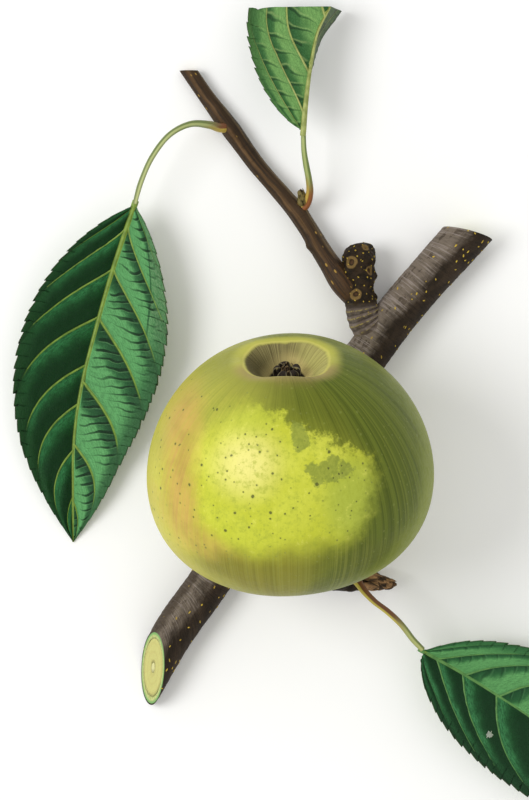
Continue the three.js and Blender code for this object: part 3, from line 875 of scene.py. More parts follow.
def wood_finish(name, pale_code, ring_code, stain_code):
    """Fresh cut wood: yearly rings, fine rays from the pith and knife marks."""
    material, start = new_finish(name)
    own = value_of(start, "own")
    flat = own.scaled(1, 1, 0)
    rings = ((flat.vectors("LENGTH", output=1) + own.noise(0.5, 3) * 0.9) * 4.6).maths("SINE")
    rays = flat.vectors("NORMALIZE").noise(34, 4, 0.6)
    knife = own.scaled(2.4, 0.25, 0.2).noise(1.3, 4, 0.6)
    colour = coats(
        tint(rings.over(0.35, 0.95) * 0.22, pale_code, ring_code),
        (rays.over(0.52, 0.7) * 0.35, stain_code),
        (knife.over(0.55, 0.7) * 0.3, stain_code),
    )
    return surface(material, colour, 0.72, rays * 0.5 + knife + rings * 0.2, 0.15, gloss=0.25)


def bark_section(shares, inset, bumps=None):
    rings, own = branch_rings(np.atleast_1d(shares), lambda outer: outer - inset, bumps)
    return rings, own, np.full(rings.shape[:2], inset / BARK_THICKNESS)


def wood_section(shares, inward):
    """Rings of the wood, from its outside to the pith as inward goes from 0 to 1."""

    def radius(outer):
        return (outer - BARK_THICKNESS - LAYER_GAP) * (1 - inward) + (PITH_RADIUS + LAYER_GAP) * inward

    return branch_rings(np.atleast_1d(shares), radius)


def joined_sections(*sections):
    return (np.concatenate(parts) for parts in zip(*sections))


CUT_STEPS = (0.26, 0.45, 0.9)
bark_rings, bark_own, bark_depth = joined_sections(
    bark_section(np.linspace(0, 1, 300), 0.0, bark_bumps),
    *(bark_section(1.0, inset) for inset in CUT_STEPS),
    bark_section(np.linspace(1, 0, 12), BARK_THICKNESS),
    *(bark_section(0.0, inset) for inset in CUT_STEPS[::-1]),
)
bark = grown(
    "branch_bark_and_bast", bark_rings, bark_finish(), "bark", "branch_bark",
    joined=True, own=bark_own, depth=bark_depth,
)

lengthwise = np.linspace(0, 1, 14)
inward_steps = np.linspace(0, 1, 6)[1:-1]
wood_rings, wood_own = joined_sections(
    wood_section(lengthwise, 0),
    *(wood_section(1.0, step) for step in inward_steps),
    wood_section(lengthwise[::-1], 1),
    *(wood_section(0.0, step) for step in inward_steps[::-1]),
)
cut_wood = wood_finish("cut_wood", "c5c277", "b4a564", "b09a5c")
grown("branch_wood_rings", wood_rings, cut_wood, "wood", "branch_wood", joined=True, own=wood_own)
pith_rings, pith_own = branch_rings(lengthwise, lambda outer: 0 * outer + PITH_RADIUS)
soft_pith = wood_finish("soft_pith", "d9d69a", "c6c084", "b5ab70")
grown("branch_pith_thread", pith_rings, soft_pith, "pith", "branch_pith", own=pith_own)


def scatter_grower():
    """Strews small flat grains over a surface, turned to face out from it."""
    grow = Grower("scatter", Apart="Float", Crowd="Float", Smallest="Vector", Largest="Vector", Seed="Int")
    chosen = grow.node("GeometryNodeInputNamedAttribute", {"data_type": "FLOAT"}, {0: "strewn"})
    where = {"Mesh": "@Geometry", "Distance Min": "@Apart", "Density Max": "@Crowd", "Seed": "@Seed"}
    where["Density Factor"] = (chosen, 0)
    evenly = {"distribute_method": "POISSON"}
    strewn = grow.node("GeometryNodeDistributePointsOnFaces", evenly, where)
    ball = grow.node("GeometryNodeMeshUVSphere", {}, {"Segments": 8, "Rings": 5, "Radius": 1.0})
    sizes = {0: "@Smallest", 1: "@Largest", "Seed": "@Seed"}
    size = grow.node("FunctionNodeRandomValue", {"data_type": "FLOAT_VECTOR"}, sizes)
    angles = {2: -0.9, 3: 0.9, "Seed": "@Seed"}
    angle = grow.node("FunctionNodeRandomValue", {"data_type": "FLOAT"}, angles)
    spin = grow.node("FunctionNodeAxisAngleToRotation", {}, {0: (0.0, 0.0, 1.0), 1: (angle, 1)})
    local = {"rotation_space": "LOCAL"}
    turn = grow.node("FunctionNodeRotateRotation", local, {0: (strewn, 2), 1: (spin, 0)})
    return grow.end(grow.copies((strewn, 0), (ball, 0), (turn, 0), (size, 0)))


def pore_finish(name, light, dark):
    material, start = new_finish(name)
    grain = place_of(start).noise(1600, 4, 0.6)
    return surface(material, tint(grain.over(0.4, 0.62), light, dark), 0.8, grain, 0.08, gloss=0.3)


scatter = scatter_grower()
ochre_pore = pore_finish("ochre_pore", "cfb33c", "a3852f")


def strew(name, base, wanted, finish, slot, apart, crowd, smallest, largest, seed):
    """Grains over the part of a piece's surface where wanted is above 0."""
    ground = piece(name, *base, strewn=wanted)
    scatter.run(
        ground, Apart=apart * MM, Crowd=crowd, Smallest=tuple(np.array(smallest) * MM),
        Largest=tuple(np.array(largest) * MM), Seed=seed, Finish=finish,
    )
    settle(ground, slot)


bloomed = np.clip(0.45 + bark_own[..., 0] * 0.09, 0.1, 1)
on_outside = ((bark_depth < 0.01) & (bark_rings[..., 2] > 1.0)) * bloomed
strew(
    "branch_pores", bark, on_outside.ravel() * 0.8, ochre_pore, "bark",
    1.7, 150000, (0.18, 0.14, 0.08), (0.62, 0.26, 0.16), 5,
)

# ------------------------------------------------------------
# The side spur, a short knobbly shoot with ring scars at its foot and round scars where buds and fruit
# stalks dropped off. The fruiting spur under the apple is the same, and swollen where the stalk joins.
SPUR_LINE = [
    (35.4, 21.4, 5.8, 4.0), (30.6, 21.4, 7.0, 5.3), (28.2, 25.4, 8.0, 4.9), (27.5, 31.6, 8.5, 4.3),
    (27.3, 38.2, 8.6, 4.6), (27.0, 41.8, 8.7, 4.5), (26.7, 44.0, 8.7, 3.3), (26.5, 45.0, 8.7, 1.8),
]
SPUR_SCARS = [
    (25.0, 39.4, 12.4, 1.9), (26.2, 30.2, 12.6, 1.8), (29.8, 37.0, 11.6, 1.5), (28.3, 43.2, 11.0, 1.4),
]
FRUIT_SPUR_LINE = [
    (-4.4, -35.9, 6.2, 3.4), (6.0, -43.0, 5.2, 3.5), (14.0, -48.0, 4.9, 4.8), (21.5, -51.4, 5.2, 3.6),
    (28.3, -51.9, 5.9, 2.5),
]
FRUIT_SPUR_SCARS = [(17.5, -53.9, 7.0, 1.3), (9.5, -41.8, 8.0, 1.2), (21.5, -49.3, 8.0, 1.0)]
END_ROUNDING = (0.0, 0.12, 0.3, 0.55, 0.8)
RING_SCARS = 3.9


def rod(path, t, radius, sides, bumps=None):
    """Rings round a path, and their places in the rod laid straight. radius is that of each ring, and may
    change round it too."""
    centre, along, right, up = path.frames(t)
    radius = np.asarray(radius, float)
    reach = radius[:, None] if radius.ndim == 1 else radius
    x, y = round_rings(reach, around(sides))
    own = np.stack([x, y, np.broadcast_to(path.distance(t)[:, None], x.shape)], -1)
    if bumps is not None:
        swollen = 1 + bumps(own) / reach.clip(0.4)
        x, y = x * swollen, y * swollen
    rings = centre[:, None, :3] + x[..., None] * right[:, None] + y[..., None] * up[:, None]
    return rings, own


def scarred(rings, scars, deep):
    """Raises round scars with a sunken middle from rings of points. Also says how near each point is to one:
    1 at its middle, 0 beyond its edge."""
    outward = unit(rings - rings.mean(1, keepdims=True))
    nearness = np.zeros(rings.shape[:2])
    for *middle, size in scars:
        off = np.linalg.norm(rings - middle, axis=-1) / size
        raised = np.exp(-((off - 0.8) ** 2) * 9) - 0.8 * np.exp(-(off**2) * 5)
        rings = rings + outward * (raised * deep)[..., None]
        nearness = np.maximum(nearness, np.clip(1.35 - off, 0, 1.35))
    return rings, nearness


def spur_finish(name, foot_end):
    """Dark knobbly bark, greyer and ringed at its foot, with ochre-rimmed scars."""
    material, start = new_finish(name)
    own = value_of(start, "own")
    along = own.part("Z")
    scar = value_of(start, "scar", "Fac")
    wrinkle = own.scaled(0.16, 0.16, 1.1).noise(1.0, 6, 0.62)
    lump = own.noise(0.55, 5, 0.65)
    fine = own.noise(2.2, 4, 0.6)
    foot = (along + (lump - 0.5) * 3).over(foot_end + 1.5, foot_end - 1.5)
    groove = (along * RING_SCARS + (lump - 0.5) * 3).maths("SINE")
    ringed = foot * along.over(5.0, 7.0)
    ring = scar.over(0.30, 0.50) * scar.over(0.95, 0.75)
    specks = own.cells(0.62)
    lucky = own.cells(0.62, output=1).part("Y")
    colour = coats(
        tint(lump.over(0.38, 0.62), "191107", "2e2111"),
        (foot, tint(lump.over(0.4, 0.65), "61544a", "7c7068")),
        (groove.over(0.55, 0.95) * ringed * 0.8, 0.35),
        (groove.over(-0.75, -0.98) * ringed * fine.over(0.42, 0.55) * 0.6, "ab9a45"),
        (wrinkle.over(0.52, 0.66) * 0.6, 0.5),
        (ring * (0.4 + fine) * 0.9, "7d6438"),
        (scar.over(0.9, 1.15), "4f3721"),
        (scar.over(1.2, 1.32), 0.4),
        ((specks - 0.10).over(0.06, -0.02) * lucky.over(0.82, 0.86) * 0.8, "a88e35"),
    )
    height = lump * 0.8 - wrinkle * 0.6 + fine * 0.25 - groove * foot * 0.35
    return surface(material, colour, 0.62 + 0.2 * fine, height, 0.5, gloss=0.22)


def spur(name, line, scars, count, sides, foot_end, node, seed):
    path = Path(line)
    t = np.linspace(0, 1, count)
    radius = path.at(t)[:, 3].copy()
    dome = [math.sqrt(1 - (1 - k) ** 2) if k else 0.06 for k in END_ROUNDING]
    radius[-len(dome) :] *= np.array(dome[::-1])

    def bumps(own):
        foot = np.clip((foot_end + 2 - own[..., 2]) / 4, 0, 1)
        rings = np.sin(own[..., 2] * RING_SCARS + ripple(own, (6, 6, 9), seed) * 0.8)
        knobs = ripple(own, (4.5, 4.5, 5.0), seed + 1) * 0.40 + ripple(own, (1.8, 1.8, 2.0), seed + 2) * 0.14
        return knobs * (1 - 0.7 * foot) - 0.20 * foot * (0.5 + 0.5 * rings)

    rings, own = rod(path, t, radius, sides, bumps)
    rings, near = scarred(rings, scars, 0.42)
    rings[..., 2] = np.maximum(rings[..., 2], 0.1)
    return grown(name, rings, spur_finish(name + "_bark", foot_end), "bark", node, own=own, scar=near)


spur_base = spur("side_spur", SPUR_LINE, SPUR_SCARS, 150, 96, 11.5, "spur", 21)
spur("fruiting_spur", FRUIT_SPUR_LINE, FRUIT_SPUR_SCARS, 170, 80, 9.0, "fruit_spur", 31)
spur_top = (spur_base[0][:, 2] > 6.0) & (spur_base[0][:, 1] > 27.0)
strew(
    "side_spur_pores", spur_base, spur_top.astype(float), ochre_pore, "bark",
    1.5, 500000, (0.14, 0.12, 0.07), (0.34, 0.24, 0.12), 6,
)

# ------------------------------------------------------------
# The twig, last year's shoot from the spur. Smooth dark brown bark with fine ribs along it, an orange-brown
# streak painted along its top towards the lamp as a highlight, a leaf scar near its foot, and a clean cut at
# its top end.
TWIG_LINE = [
    (-24.2, 98.6, 2.3, 2.3), (-16.9, 88.0, 2.5, 2.3), (-10.2, 78.9, 2.9, 2.7), (-2.4, 68.0, 3.6, 2.4),
    (9.4, 54.1, 4.6, 2.7), (17.8, 40.7, 6.5, 3.0), (22.4, 34.0, 8.0, 3.8), (26.6, 28.6, 8.4, 3.2),
]
TWIG_TOP = 95.0
TWIG_NODES = [(-9.6, 77.2, 5.2, 2.4, 0.5), (11.4, 55.6, 6.6, 2.6, 0.6), (12.2, 43.9, 7.4, 1.5, 1.2)]
CUT_INSETS = (0.2, 0.5, 0.8, 0.97)


def twig_finish():
    material, start = new_finish("twig_shoot_bark")
    own = value_of(start, "own")
    depth = value_of(start, "depth", "Fac")
    ribs = own.scaled(1.6, 1.6, 0.05).noise(1.0, 6, 0.62)
    cross = own.scaled(0.3, 0.3, 1.6).noise(1.0, 5, 0.6)
    patch = own.scaled(0.4, 0.4, 0.12).noise(1.0, 4)
    # Painted highlight: streak is an orange-brown band along the twig's top, on its side towards the lamp.
    streak = abs(own.part("X") - 0.7 + (patch - 0.5) * 2.2).over(0.75, 0.15) * own.part("Y").over(-0.5, 0.5)
    rim_line = (own.part("X") * -1).over(1.3, 2.2) * ribs.over(0.42, 0.55)
    near_spur = own.part("Z").over(68.0, 76.0)
    pores = own.scaled(1, 1, 0.45).cells(0.5)
    colour = coats(
        tint(ribs.over(0.38, 0.62), "2a1d0d", "3f2b13"),
        (streak * 0.8, tint(ribs.over(0.4, 0.6), "6d5130", "523a1c")),
        (rim_line * 0.6, "74603c"),
        (near_spur * 0.75, tint(ribs.over(0.4, 0.6), "2c1d0c", "4d3317")),
        (cross.over(0.56, 0.68) * 0.5, 0.55),
        ((pores - 0.08 - near_spur * 0.06).over(0.05, -0.02) * 0.75, "b08c3c"),
        (depth.over(0.4, 0.6), tint(patch.over(0.4, 0.6), "b7a66a", "96834f")),
    )
    return surface(material, colour, 0.5 + 0.2 * cross, ribs * 0.8 + cross * -0.5, 0.3, gloss=0.25)


def cut_start(rings, own):
    """Closes the first end of a rod with a flat cut. depth is 1 on the cut and 0 on the bark."""
    middle = rings[0].mean(0)
    caps = [middle + (rings[0] - middle) * k for k in CUT_INSETS]
    own_caps = [np.concatenate([own[0][:, :2] * k, own[0][:, 2:]], 1) for k in CUT_INSETS]
    depth = np.concatenate([np.ones((len(CUT_INSETS), rings.shape[1])), np.zeros(rings.shape[:2])])
    return np.concatenate([caps, rings]), np.concatenate([own_caps, own]), depth


def twig():
    path = Path(TWIG_LINE)
    start = np.interp(-TWIG_TOP, -path.at(path.marks)[:, 1], path.marks)
    t = np.linspace(start, 1, 300)

    def bumps(own):
        turn = np.arctan2(own[..., 1], own[..., 0])
        ribs = np.cos(5 * turn + own[..., 2] * 0.02) * 0.07
        return ribs + ripple(own, (5, 5, 20), 41) * 0.07 + ripple(own, (1.2, 1.2, 6), 42) * 0.04 - 0.06

    rings, own = rod(path, t, path.at(t)[:, 3], 64, bumps)
    for *middle, size, high in TWIG_NODES:
        off = np.linalg.norm(rings - middle, axis=-1) / size
        rings = rings + unit(rings - rings.mean(1, keepdims=True)) * (high * np.exp(-(off**2)))[..., None]
    along = path.frames(t)[1]
    level = (TWIG_TOP - rings[0][:, 1]) / along[0][1]
    fade = np.clip(1 - (path.distance(t) - path.distance(start)) / 12, 0, 1)
    rings = rings + fade[:, None, None] * level[None, :, None] * along[:, None]
    rings[..., 2] = np.maximum(rings[..., 2], 0.05)
    rings, own, depth = cut_start(rings, own)
    grown("twig_shoot", rings, twig_finish(), "twig_bark", "twig", own=own, depth=depth)


twig()

# ------------------------------------------------------------
# The apple's stalk, a thin woody rod that bends from the spur's swelling into the hollow of the fruit, and
# thickens where it joins either.
FRUIT_STALK_LINE = [
    (6.2, -35.1, 38.2, 1.5), (6.2, -42.5, 33.5, 1.3), (8.3, -48.6, 24.0, 1.3), (11.6, -49.4, 13.5, 1.5),
    (13.0, -48.6, 6.0, 2.2),
]


def stalk_finish(name, base, side, red, red_end, pale, pale_side, woody=0.0):
    """A green leaf stalk, reddish near its foot, with fine threads along it. A woody one is brown. pale runs
    along the side that pale_side says, -1 or 1."""
    material, start = new_finish(name)
    own = value_of(start, "own")
    threads = own.scaled(2.2, 2.2, 0.06).noise(1.0, 5, 0.6)
    hairs = own.scaled(3, 3, 1.2).noise(1.6, 4, 0.6)
    redness = (own.part("Z") + (threads - 0.5) * 6).over(red_end + 4.0, red_end - 5.0)
    across = own.part("X") * pale_side
    green = (1 - redness) * (1 - woody)
    colour = coats(
        tint(threads.over(0.38, 0.62), base, side),
        (redness * 0.9, red),
        (across.over(0.10, 0.35) * redness * 0.85, pale),
        (abs(across - 0.15).over(0.40, 0.15) * green * 0.5, "c6ce86"),
        ((across * -1).over(0.15, 0.45) * green * 0.7, "55692d"),
        (across.over(0.62, 0.78) * green * 0.6, "62763a"),
        (hairs.over(0.5, 0.7) * (0.2 + woody), 0.6),
    )
    return surface(material, colour, 0.5 + woody * 0.3, threads + hairs * 0.4, 0.14, gloss=0.4)


def fruit_stalk():
    path = Path(FRUIT_STALK_LINE)
    t = np.linspace(0, 1, 120)
    radius = path.at(t)[:, 3] + 0.5 * np.exp(-((t / 0.07) ** 2))

    def bumps(own):
        turn = np.arctan2(own[..., 1], own[..., 0])
        return 0.08 * np.cos(4 * turn + own[..., 2] * 0.1) + 0.09 * ripple(own, (2.5, 2.5, 4), 51)

    rings, own = rod(path, t, radius, 40, bumps)
    finish = stalk_finish("fruit_stalk_bark", "7c7440", "5f4f2a", "5a3c20", 26.0, "8e7a44", -1, woody=0.5)
    grown("apple_stalk", rings, finish, "twig_bark", "stalk", own=own)


fruit_stalk()

# ------------------------------------------------------------
# The buds. Each is a small cone of overlapping brown scales round a core, set on in a spiral from its
# foot to its tip.
END_BUD = {"foot": (28.2, -51.8, 5.9), "tip": (38.8, -53.2, 6.6), "widest": 2.7, "scales": 14, "seed": 61}
SIDE_BUD = {"foot": (11.1, 56.0, 7.3), "tip": (10.3, 60.9, 9.1), "widest": 1.4, "scales": 10, "seed": 62}
SCALE_LINE = [(0.72, 0.0), (0.96, 0.13), (1.0, 0.27), (0.80, 0.42), (0.58, 0.52)]
SCALE_WIDTHS = (0.8, 1.1, 1.1, 0.72)
SCALE_THICKNESS = 0.05
SCALE_HUG = 0.42
GOLDEN_TURN = math.radians(137.5)


def bud(name, foot, tip, widest, scales, seed, finish, core_finish):
    foot, tip = np.array(foot), np.array(tip)
    axis = tip - foot
    length = np.linalg.norm(axis)
    line = [(out * widest, up * length) for out, up in SCALE_LINE]
    widths = (*(width * widest for width in SCALE_WIDTHS), 0.05)
    blade = petal(name + "_scales", line, widths, SCALE_THICKNESS * widest, 18, 16, SCALE_HUG / widest)
    cover = whorl.run(
        blade,
        Count=scales, Rise=length * 0.62 / (scales - 1) * MM, Turn=GOLDEN_TURN, First=0.4, Shrink=0.955,
        Askew=0.03, Seed=seed, Place=tuple(foot * MM + PLAN),
        Lean=tuple(Vector(axis).to_track_quat("Z", "Y").to_euler()), Finish=finish,
    )
    settle(cover, "dried", name)
    t = np.linspace(0, 1, 40)
    core = Path([tuple(foot + axis * k) for k in (0.0, 0.3, 0.6, 0.93)])
    radius = widest * 0.84 * (np.sin(np.pi * (0.16 + 0.82 * t)) ** 0.8)
    rings, own = rod(core, t, radius, 40)
    own[..., 0] = 0.0
    grown(name + "_core", rings, core_finish, "dried", own=own)


end_scale = dried_finish("bud_scale", "6a5034", "ad8558", "2b2112")
side_scale = dried_finish("small_bud_scale", "5f5630", "8c7b45", "3d3319")
bud_core = dried_finish("bud_core", "3a2c18", "6b4c2c", "2b2112")
bud("end_bud", finish=end_scale, core_finish=bud_core, **END_BUD)
bud("side_bud", finish=side_scale, core_finish=bud_core, **SIDE_BUD)

# ------------------------------------------------------------
# Leaf stalks. Each is a springy green stem with a groove along its upper side and a swollen, reddish foot
# that clasps the wood.
LEAF_STALKS = {
    "leaf_left": {
        "line": [
            (-9.9, 78.5, 2.6, 1.4), (-12.9, 78.3, 6.4, 1.3), (-15.6, 78.9, 9.4, 1.1),
            (-21.3, 78.9, 13.0, 0.9), (-27.0, 75.9, 15.0, 0.8), (-32.1, 69.4, 15.4, 0.8),
            (-35.3, 62.3, 14.4, 0.9), (-37.1, 56.2, 12.7, 1.0),
        ],
        "finish": ("a3aa77", "7f8c52", "7d3a1a", 9.0, "c9b04a", -1),
    },
    "leaf_right": {
        "line": [
            (24.4, -51.0, 6.4, 1.4), (26.3, -51.7, 10.8, 1.3), (28.6, -54.7, 14.2, 1.0),
            (31.5, -57.6, 15.5, 0.9), (35.1, -60.4, 15.5, 0.9), (39.2, -64.3, 14.0, 0.9),
            (42.6, -68.7, 12.4, 1.0), (45.3, -71.5, 11.4, 1.1),
        ],
        "finish": ("a8a763", "8a9152", "662c12", 25.0, "c4b64c", 1),
    },
    "leaf_top": {
        "line": [
            (10.2, 54.6, 5.2, 1.4), (12.2, 56.6, 7.4, 1.2), (13.0, 59.7, 9.8, 1.0), (12.7, 63.0, 12.0, 0.9),
            (11.9, 67.2, 14.0, 0.9), (11.3, 71.4, 15.3, 0.9), (11.1, 76.4, 16.2, 1.0),
        ],
        "finish": ("9aa566", "7d8d4c", "8a431c", 11.0, "c7a94c", -1),
    },
}
STALK_SIDES = 40


def leaf_stalk(leaf, line, finish):
    path = Path(line)
    t = np.linspace(0, 1, 140)
    turn = around(STALK_SIDES)
    radius = path.at(t)[:, 3][:, None] * np.ones_like(turn)
    from_top = np.abs(np.angle(np.exp(1j * (turn + np.pi / 2))))
    groove = 0.28 * np.exp(-((from_top / 0.42) ** 2)) * np.clip(t * 6, 0, 1)[:, None]
    radius = radius * (1 - 0.30 * np.clip((t - 0.66) * 3, 0, 1))[:, None]
    radius = radius * (1 - groove) * (1 + 0.12 * np.exp(-((t / 0.06) ** 2))[:, None])
    rings, own = rod(path, t, radius, STALK_SIDES, lambda own: 0.04 * ripple(own, (1.5, 1.5, 7), 71))
    stem = leaf + "_stem"
    grown(stem, rings, stalk_finish(stem, *finish), "leaf_stalk", leaf + "_stalk", own=own)


for leaf, stem in LEAF_STALKS.items():
    leaf_stalk(leaf, **stem)

# ------------------------------------------------------------
# The leaves. Thin oval blades with saw teeth that point to the tip, folded up a little from the midrib and
# quilted between the side veins. The top one shows its paler underside and was trimmed half way along.
BLADE_SPAN = (0.004, 0.998)
BASE_FURL = 0.3
WAVE = {"count": 6, "height": 0.5}
TOOTH_DEPTH = 0.042
TOOTH_LEAN = 0.55
ROWS_PER_TOOTH = 8
COLUMNS = 36
QUILT = 0.42
PUCKER = 0.07
GRAIN = 0.06
RIB_DIP = 0.30
THICKNESS = 0.28
TOP_LEAF_END = 112.3
EATEN_HOLE = (64.6, -96.1, 1.0)


def half_leaf(width, rise, fall, fold, *veins):
    """Its width, how its outline rises and falls, its fold in degrees, and where its side veins start."""
    return {"width": width, "rise": rise, "fall": fall, "fold": fold, "veins": veins}


LEAVES = {
    "left": {
        "midrib": [
            (-37.4, 55.4, 12.4), (-43.6, 37.4, 7.0), (-48.0, 22.5, 4.2), (-52.7, 4.3, 2.6),
            (-55.0, -11.5, 2.0), (-55.3, -28.9, 1.8), (-55.3, -41.0, 0.5),
        ],
        "halves": (
            half_leaf(23.8, 0.76, 0.98, 20, 0.057, 0.196, 0.345, 0.533, 0.717),
            half_leaf(21.2, 0.84, 1.02, 13, 0.065, 0.196, 0.34, 0.485, 0.60, 0.735),
        ),
        "sweep": (0.17, 0.10),
        "rib": (0.95, 0.16),
        "teeth": 31,
        "reach": 1.0,
        "greens": (
            {
                "deep": "1f4a2a", "middle": "3c7845", "light": "62a565", "ledge": "35603a",
                "lit_from": (0.10, 0.46), "lines": (1.15, 0.2, 1.0, 2.5, 0.12, 4.0, 0.15),
                "margin_highlight": (46.0, "6f9468"),
            },
            {
                "deep": "0f3518", "middle": "1c5529", "light": "2f7442", "ledge": "173f1c",
                "lit_from": (0.62, 0.06), "hatch": 0.6,
            },
        ),
        "ribs": ("6d8c30", "7d9238", 0.95),
        "back": ("6f8a56", "839c66", "a3ad72"),
        "thread": ("7f9a3c", "66802f"),
    },
    "right": {
        "midrib": [
            (45.7, -72.2, 11.1), (56.2, -78.2, 7.4), (67.9, -85.6, 4.8), (76.3, -91.2, 3.4),
            (98.0, -106.5, 1.9), (118.5, -125.0, 0.5),
        ],
        "halves": (
            half_leaf(20.0, 0.8, 0.95, 14, 0.05, 0.16, 0.29, 0.43, 0.57, 0.71),
            half_leaf(20.6, 0.5, 0.62, 15, 0.05, 0.15, 0.28, 0.42, 0.57, 0.72),
        ),
        "sweep": (0.10, 0.22),
        "rib": (0.70, 0.14),
        "teeth": 29,
        "reach": 1.0,
        "greens": (
            {
                "deep": "23522f", "middle": "3b7842", "light": "66a763", "ledge": "33663a",
                "lit_from": (0.06, 0.50), "lines": (0.8, 0.1, 0.5, 3.1, 0.1, 4.0, 0.10),
            },
            {
                "deep": "153a1e", "middle": "21562d", "light": "3f8450", "ledge": "1a3c22",
                "lit_from": (0.70, 0.10), "hatch": 0.6,
            },
        ),
        "ribs": ("4f8548", "8ea347", 0.55),
        "back": ("6f8a56", "839c66", "a3ad72"),
        "thread": ("5f9048", "497a3c"),
    },
    "top": {
        "midrib": [
            (11.1, 77.0, 16.4), (11.6, 82.8, 16.9), (12.4, 89.9, 17.2), (13.5, 97.0, 17.3),
            (15.3, 105.0, 17.2), (19.0, 112.4, 17.0), (22.4, 119.5, 17.0),
        ],
        "halves": (
            half_leaf(23.9, 0.69, 0.6, -11, 0.07, 0.36, 0.74),
            half_leaf(16.4, 0.75, 0.6, -76, 0.10, 0.42, 0.80),
        ),
        "sweep": (0.55, 0.40),
        "rib": (0.85, 0.30),
        "teeth": 17,
        "reach": 0.54,
        "greens": (
            {
                "deep": "2d5c2e", "middle": "4c7a40", "light": "74a25a", "ledge": "3a602d",
                "lit_from": (0.10, 0.60), "lines": (1.5, -0.1, 1.0, 3.6, -0.12, 1.2, 0.10), "glow": "b0c67c",
            },
            {
                "deep": "34432f", "middle": "4a5d42", "light": "5c7150", "ledge": "3d4e36",
                "lit_from": (0.15, 0.6), "lines": (1.5, -0.1, 0.8, 3.0, 0.1, 1.2, 0.10), "glow": "7d8f68",
            },
        ),
        "ribs": ("9aa65a", "8a9245", 0.85),
        "back": ("2f5a33", "386a3b", "6d8c30"),
        "thread": ("a3ab62", "7f8a42"),
    },
}


def outline(share, rise, fall):
    widest = rise / (rise + fall)
    return (share / widest) ** rise * ((1 - share) / (1 - widest)) ** fall


def panel_at(leaf, t, v):
    """Counts side veins along a half: a whole number on a vein, and a part between two."""
    first, third = leaf["sweep"]
    passed = t - first * np.abs(v) - third * np.abs(v) ** 3
    counts = []
    for half in leaf["halves"]:
        veins = np.array(half["veins"])
        gap = np.diff(veins).mean()
        before = veins[0] - gap * np.array((3, 2, 1))
        line = np.concatenate([before, veins, veins[-1] + gap * np.array((1, 2, 3))])
        counts.append(np.interp(passed, line, np.arange(len(line)) - 2.0))
    return np.where(v < 0, *counts)


def blade_at(leaf, t, v, toothed=True):
    """Points of a blade's upper side at t along the midrib and v across, -1 to 1. Also the direction that its
    surface faces there, and how far out each is."""
    path = leaf["path"]
    teeth = leaf["teeth"]

    def of_half(key):
        first, second = leaf["halves"]
        return np.where(v < 0, first[key], second[key])

    tooth = t * teeth + np.where(v < 0, 0.0, 0.5)
    phase = tooth % 1
    saw = np.where(phase < 0.86, (phase / 0.86) ** 0.85, (1 - phase) / 0.14)
    edge = np.abs(v) ** 7 if toothed else 0.0 * v
    big = 1 + 0.35 * np.sin(np.floor(tooth) * 2.4)
    inside = np.sin(np.pi * np.clip(t * leaf["reach"], 0, 1)) ** 0.3
    t = np.clip(t + edge * (saw - 0.5) * TOOTH_LEAN / teeth * inside, 0, 1)
    centre, along, right, up = path.frames(path.even(t))
    share = np.clip(t * leaf["reach"], *BLADE_SPAN)
    shape = outline(share, of_half("rise"), of_half("fall"))
    out = np.abs(v) * of_half("width") * shape * (1 - edge * (1 - saw) * TOOTH_DEPTH * big)
    fold = np.radians(of_half("fold") * (1 + BASE_FURL * (1 - t)))
    wave = WAVE["height"] * np.sin(2 * np.pi * WAVE["count"] * t) * np.sin(np.pi * t * leaf["reach"])
    side = np.sign(v)
    point = centre[..., :3] + (side * out * np.cos(fold))[..., None] * right
    point = point + (out * np.sin(fold) + wave * v * v)[..., None] * up
    face = unit(np.cos(fold)[..., None] * up - (side * np.sin(fold))[..., None] * right)
    return point, face, side * out


def blade_rows(leaf, v):
    """t for every row and column. The trimmed leaf's last row lies on its trim."""
    rows = np.linspace(0, 1, leaf["teeth"] * ROWS_PER_TOOTH + 1)
    t = np.broadcast_to(rows[:, None], (len(rows), len(v))).copy()
    if leaf["reach"] == 1.0:
        return t
    reached = blade_at(leaf, *np.broadcast_arrays(rows[:, None], v[None, :]), toothed=False)[0][..., 1]
    for column in range(len(v)):
        t[:, column] *= np.interp(TOP_LEAF_END, reached[:, column], rows)
    return t


def blade_faces(rows, columns, upper):
    """Faces of a sheet's two sides and of the wall round its edge and round its hole."""

    def at(r, c):
        return r * columns + c

    row, column = np.meshgrid(np.arange(rows - 1), np.arange(columns - 1), indexing="ij")
    top = np.stack([at(row, column), at(row, column + 1), at(row + 1, column + 1), at(row + 1, column)], -1)
    top = top.reshape(-1, 4)
    middles = upper.reshape(-1, 3)[top].mean(1)
    eaten = np.hypot(middles[:, 0] - EATEN_HOLE[0], middles[:, 1] - EATEN_HOLE[1]) < EATEN_HOLE[2]
    top = top[~eaten]
    under = rows * columns
    sides = np.concatenate([np.stack([top[:, k], top[:, (k + 1) % 4]], -1) for k in range(4)]).tolist()
    met = {(b, a) for a, b in sides}
    walls = [[b, a, a + under, b + under] for a, b in sides if (a, b) not in met]
    return np.array(top.tolist() + (top[:, ::-1] + under).tolist() + walls)


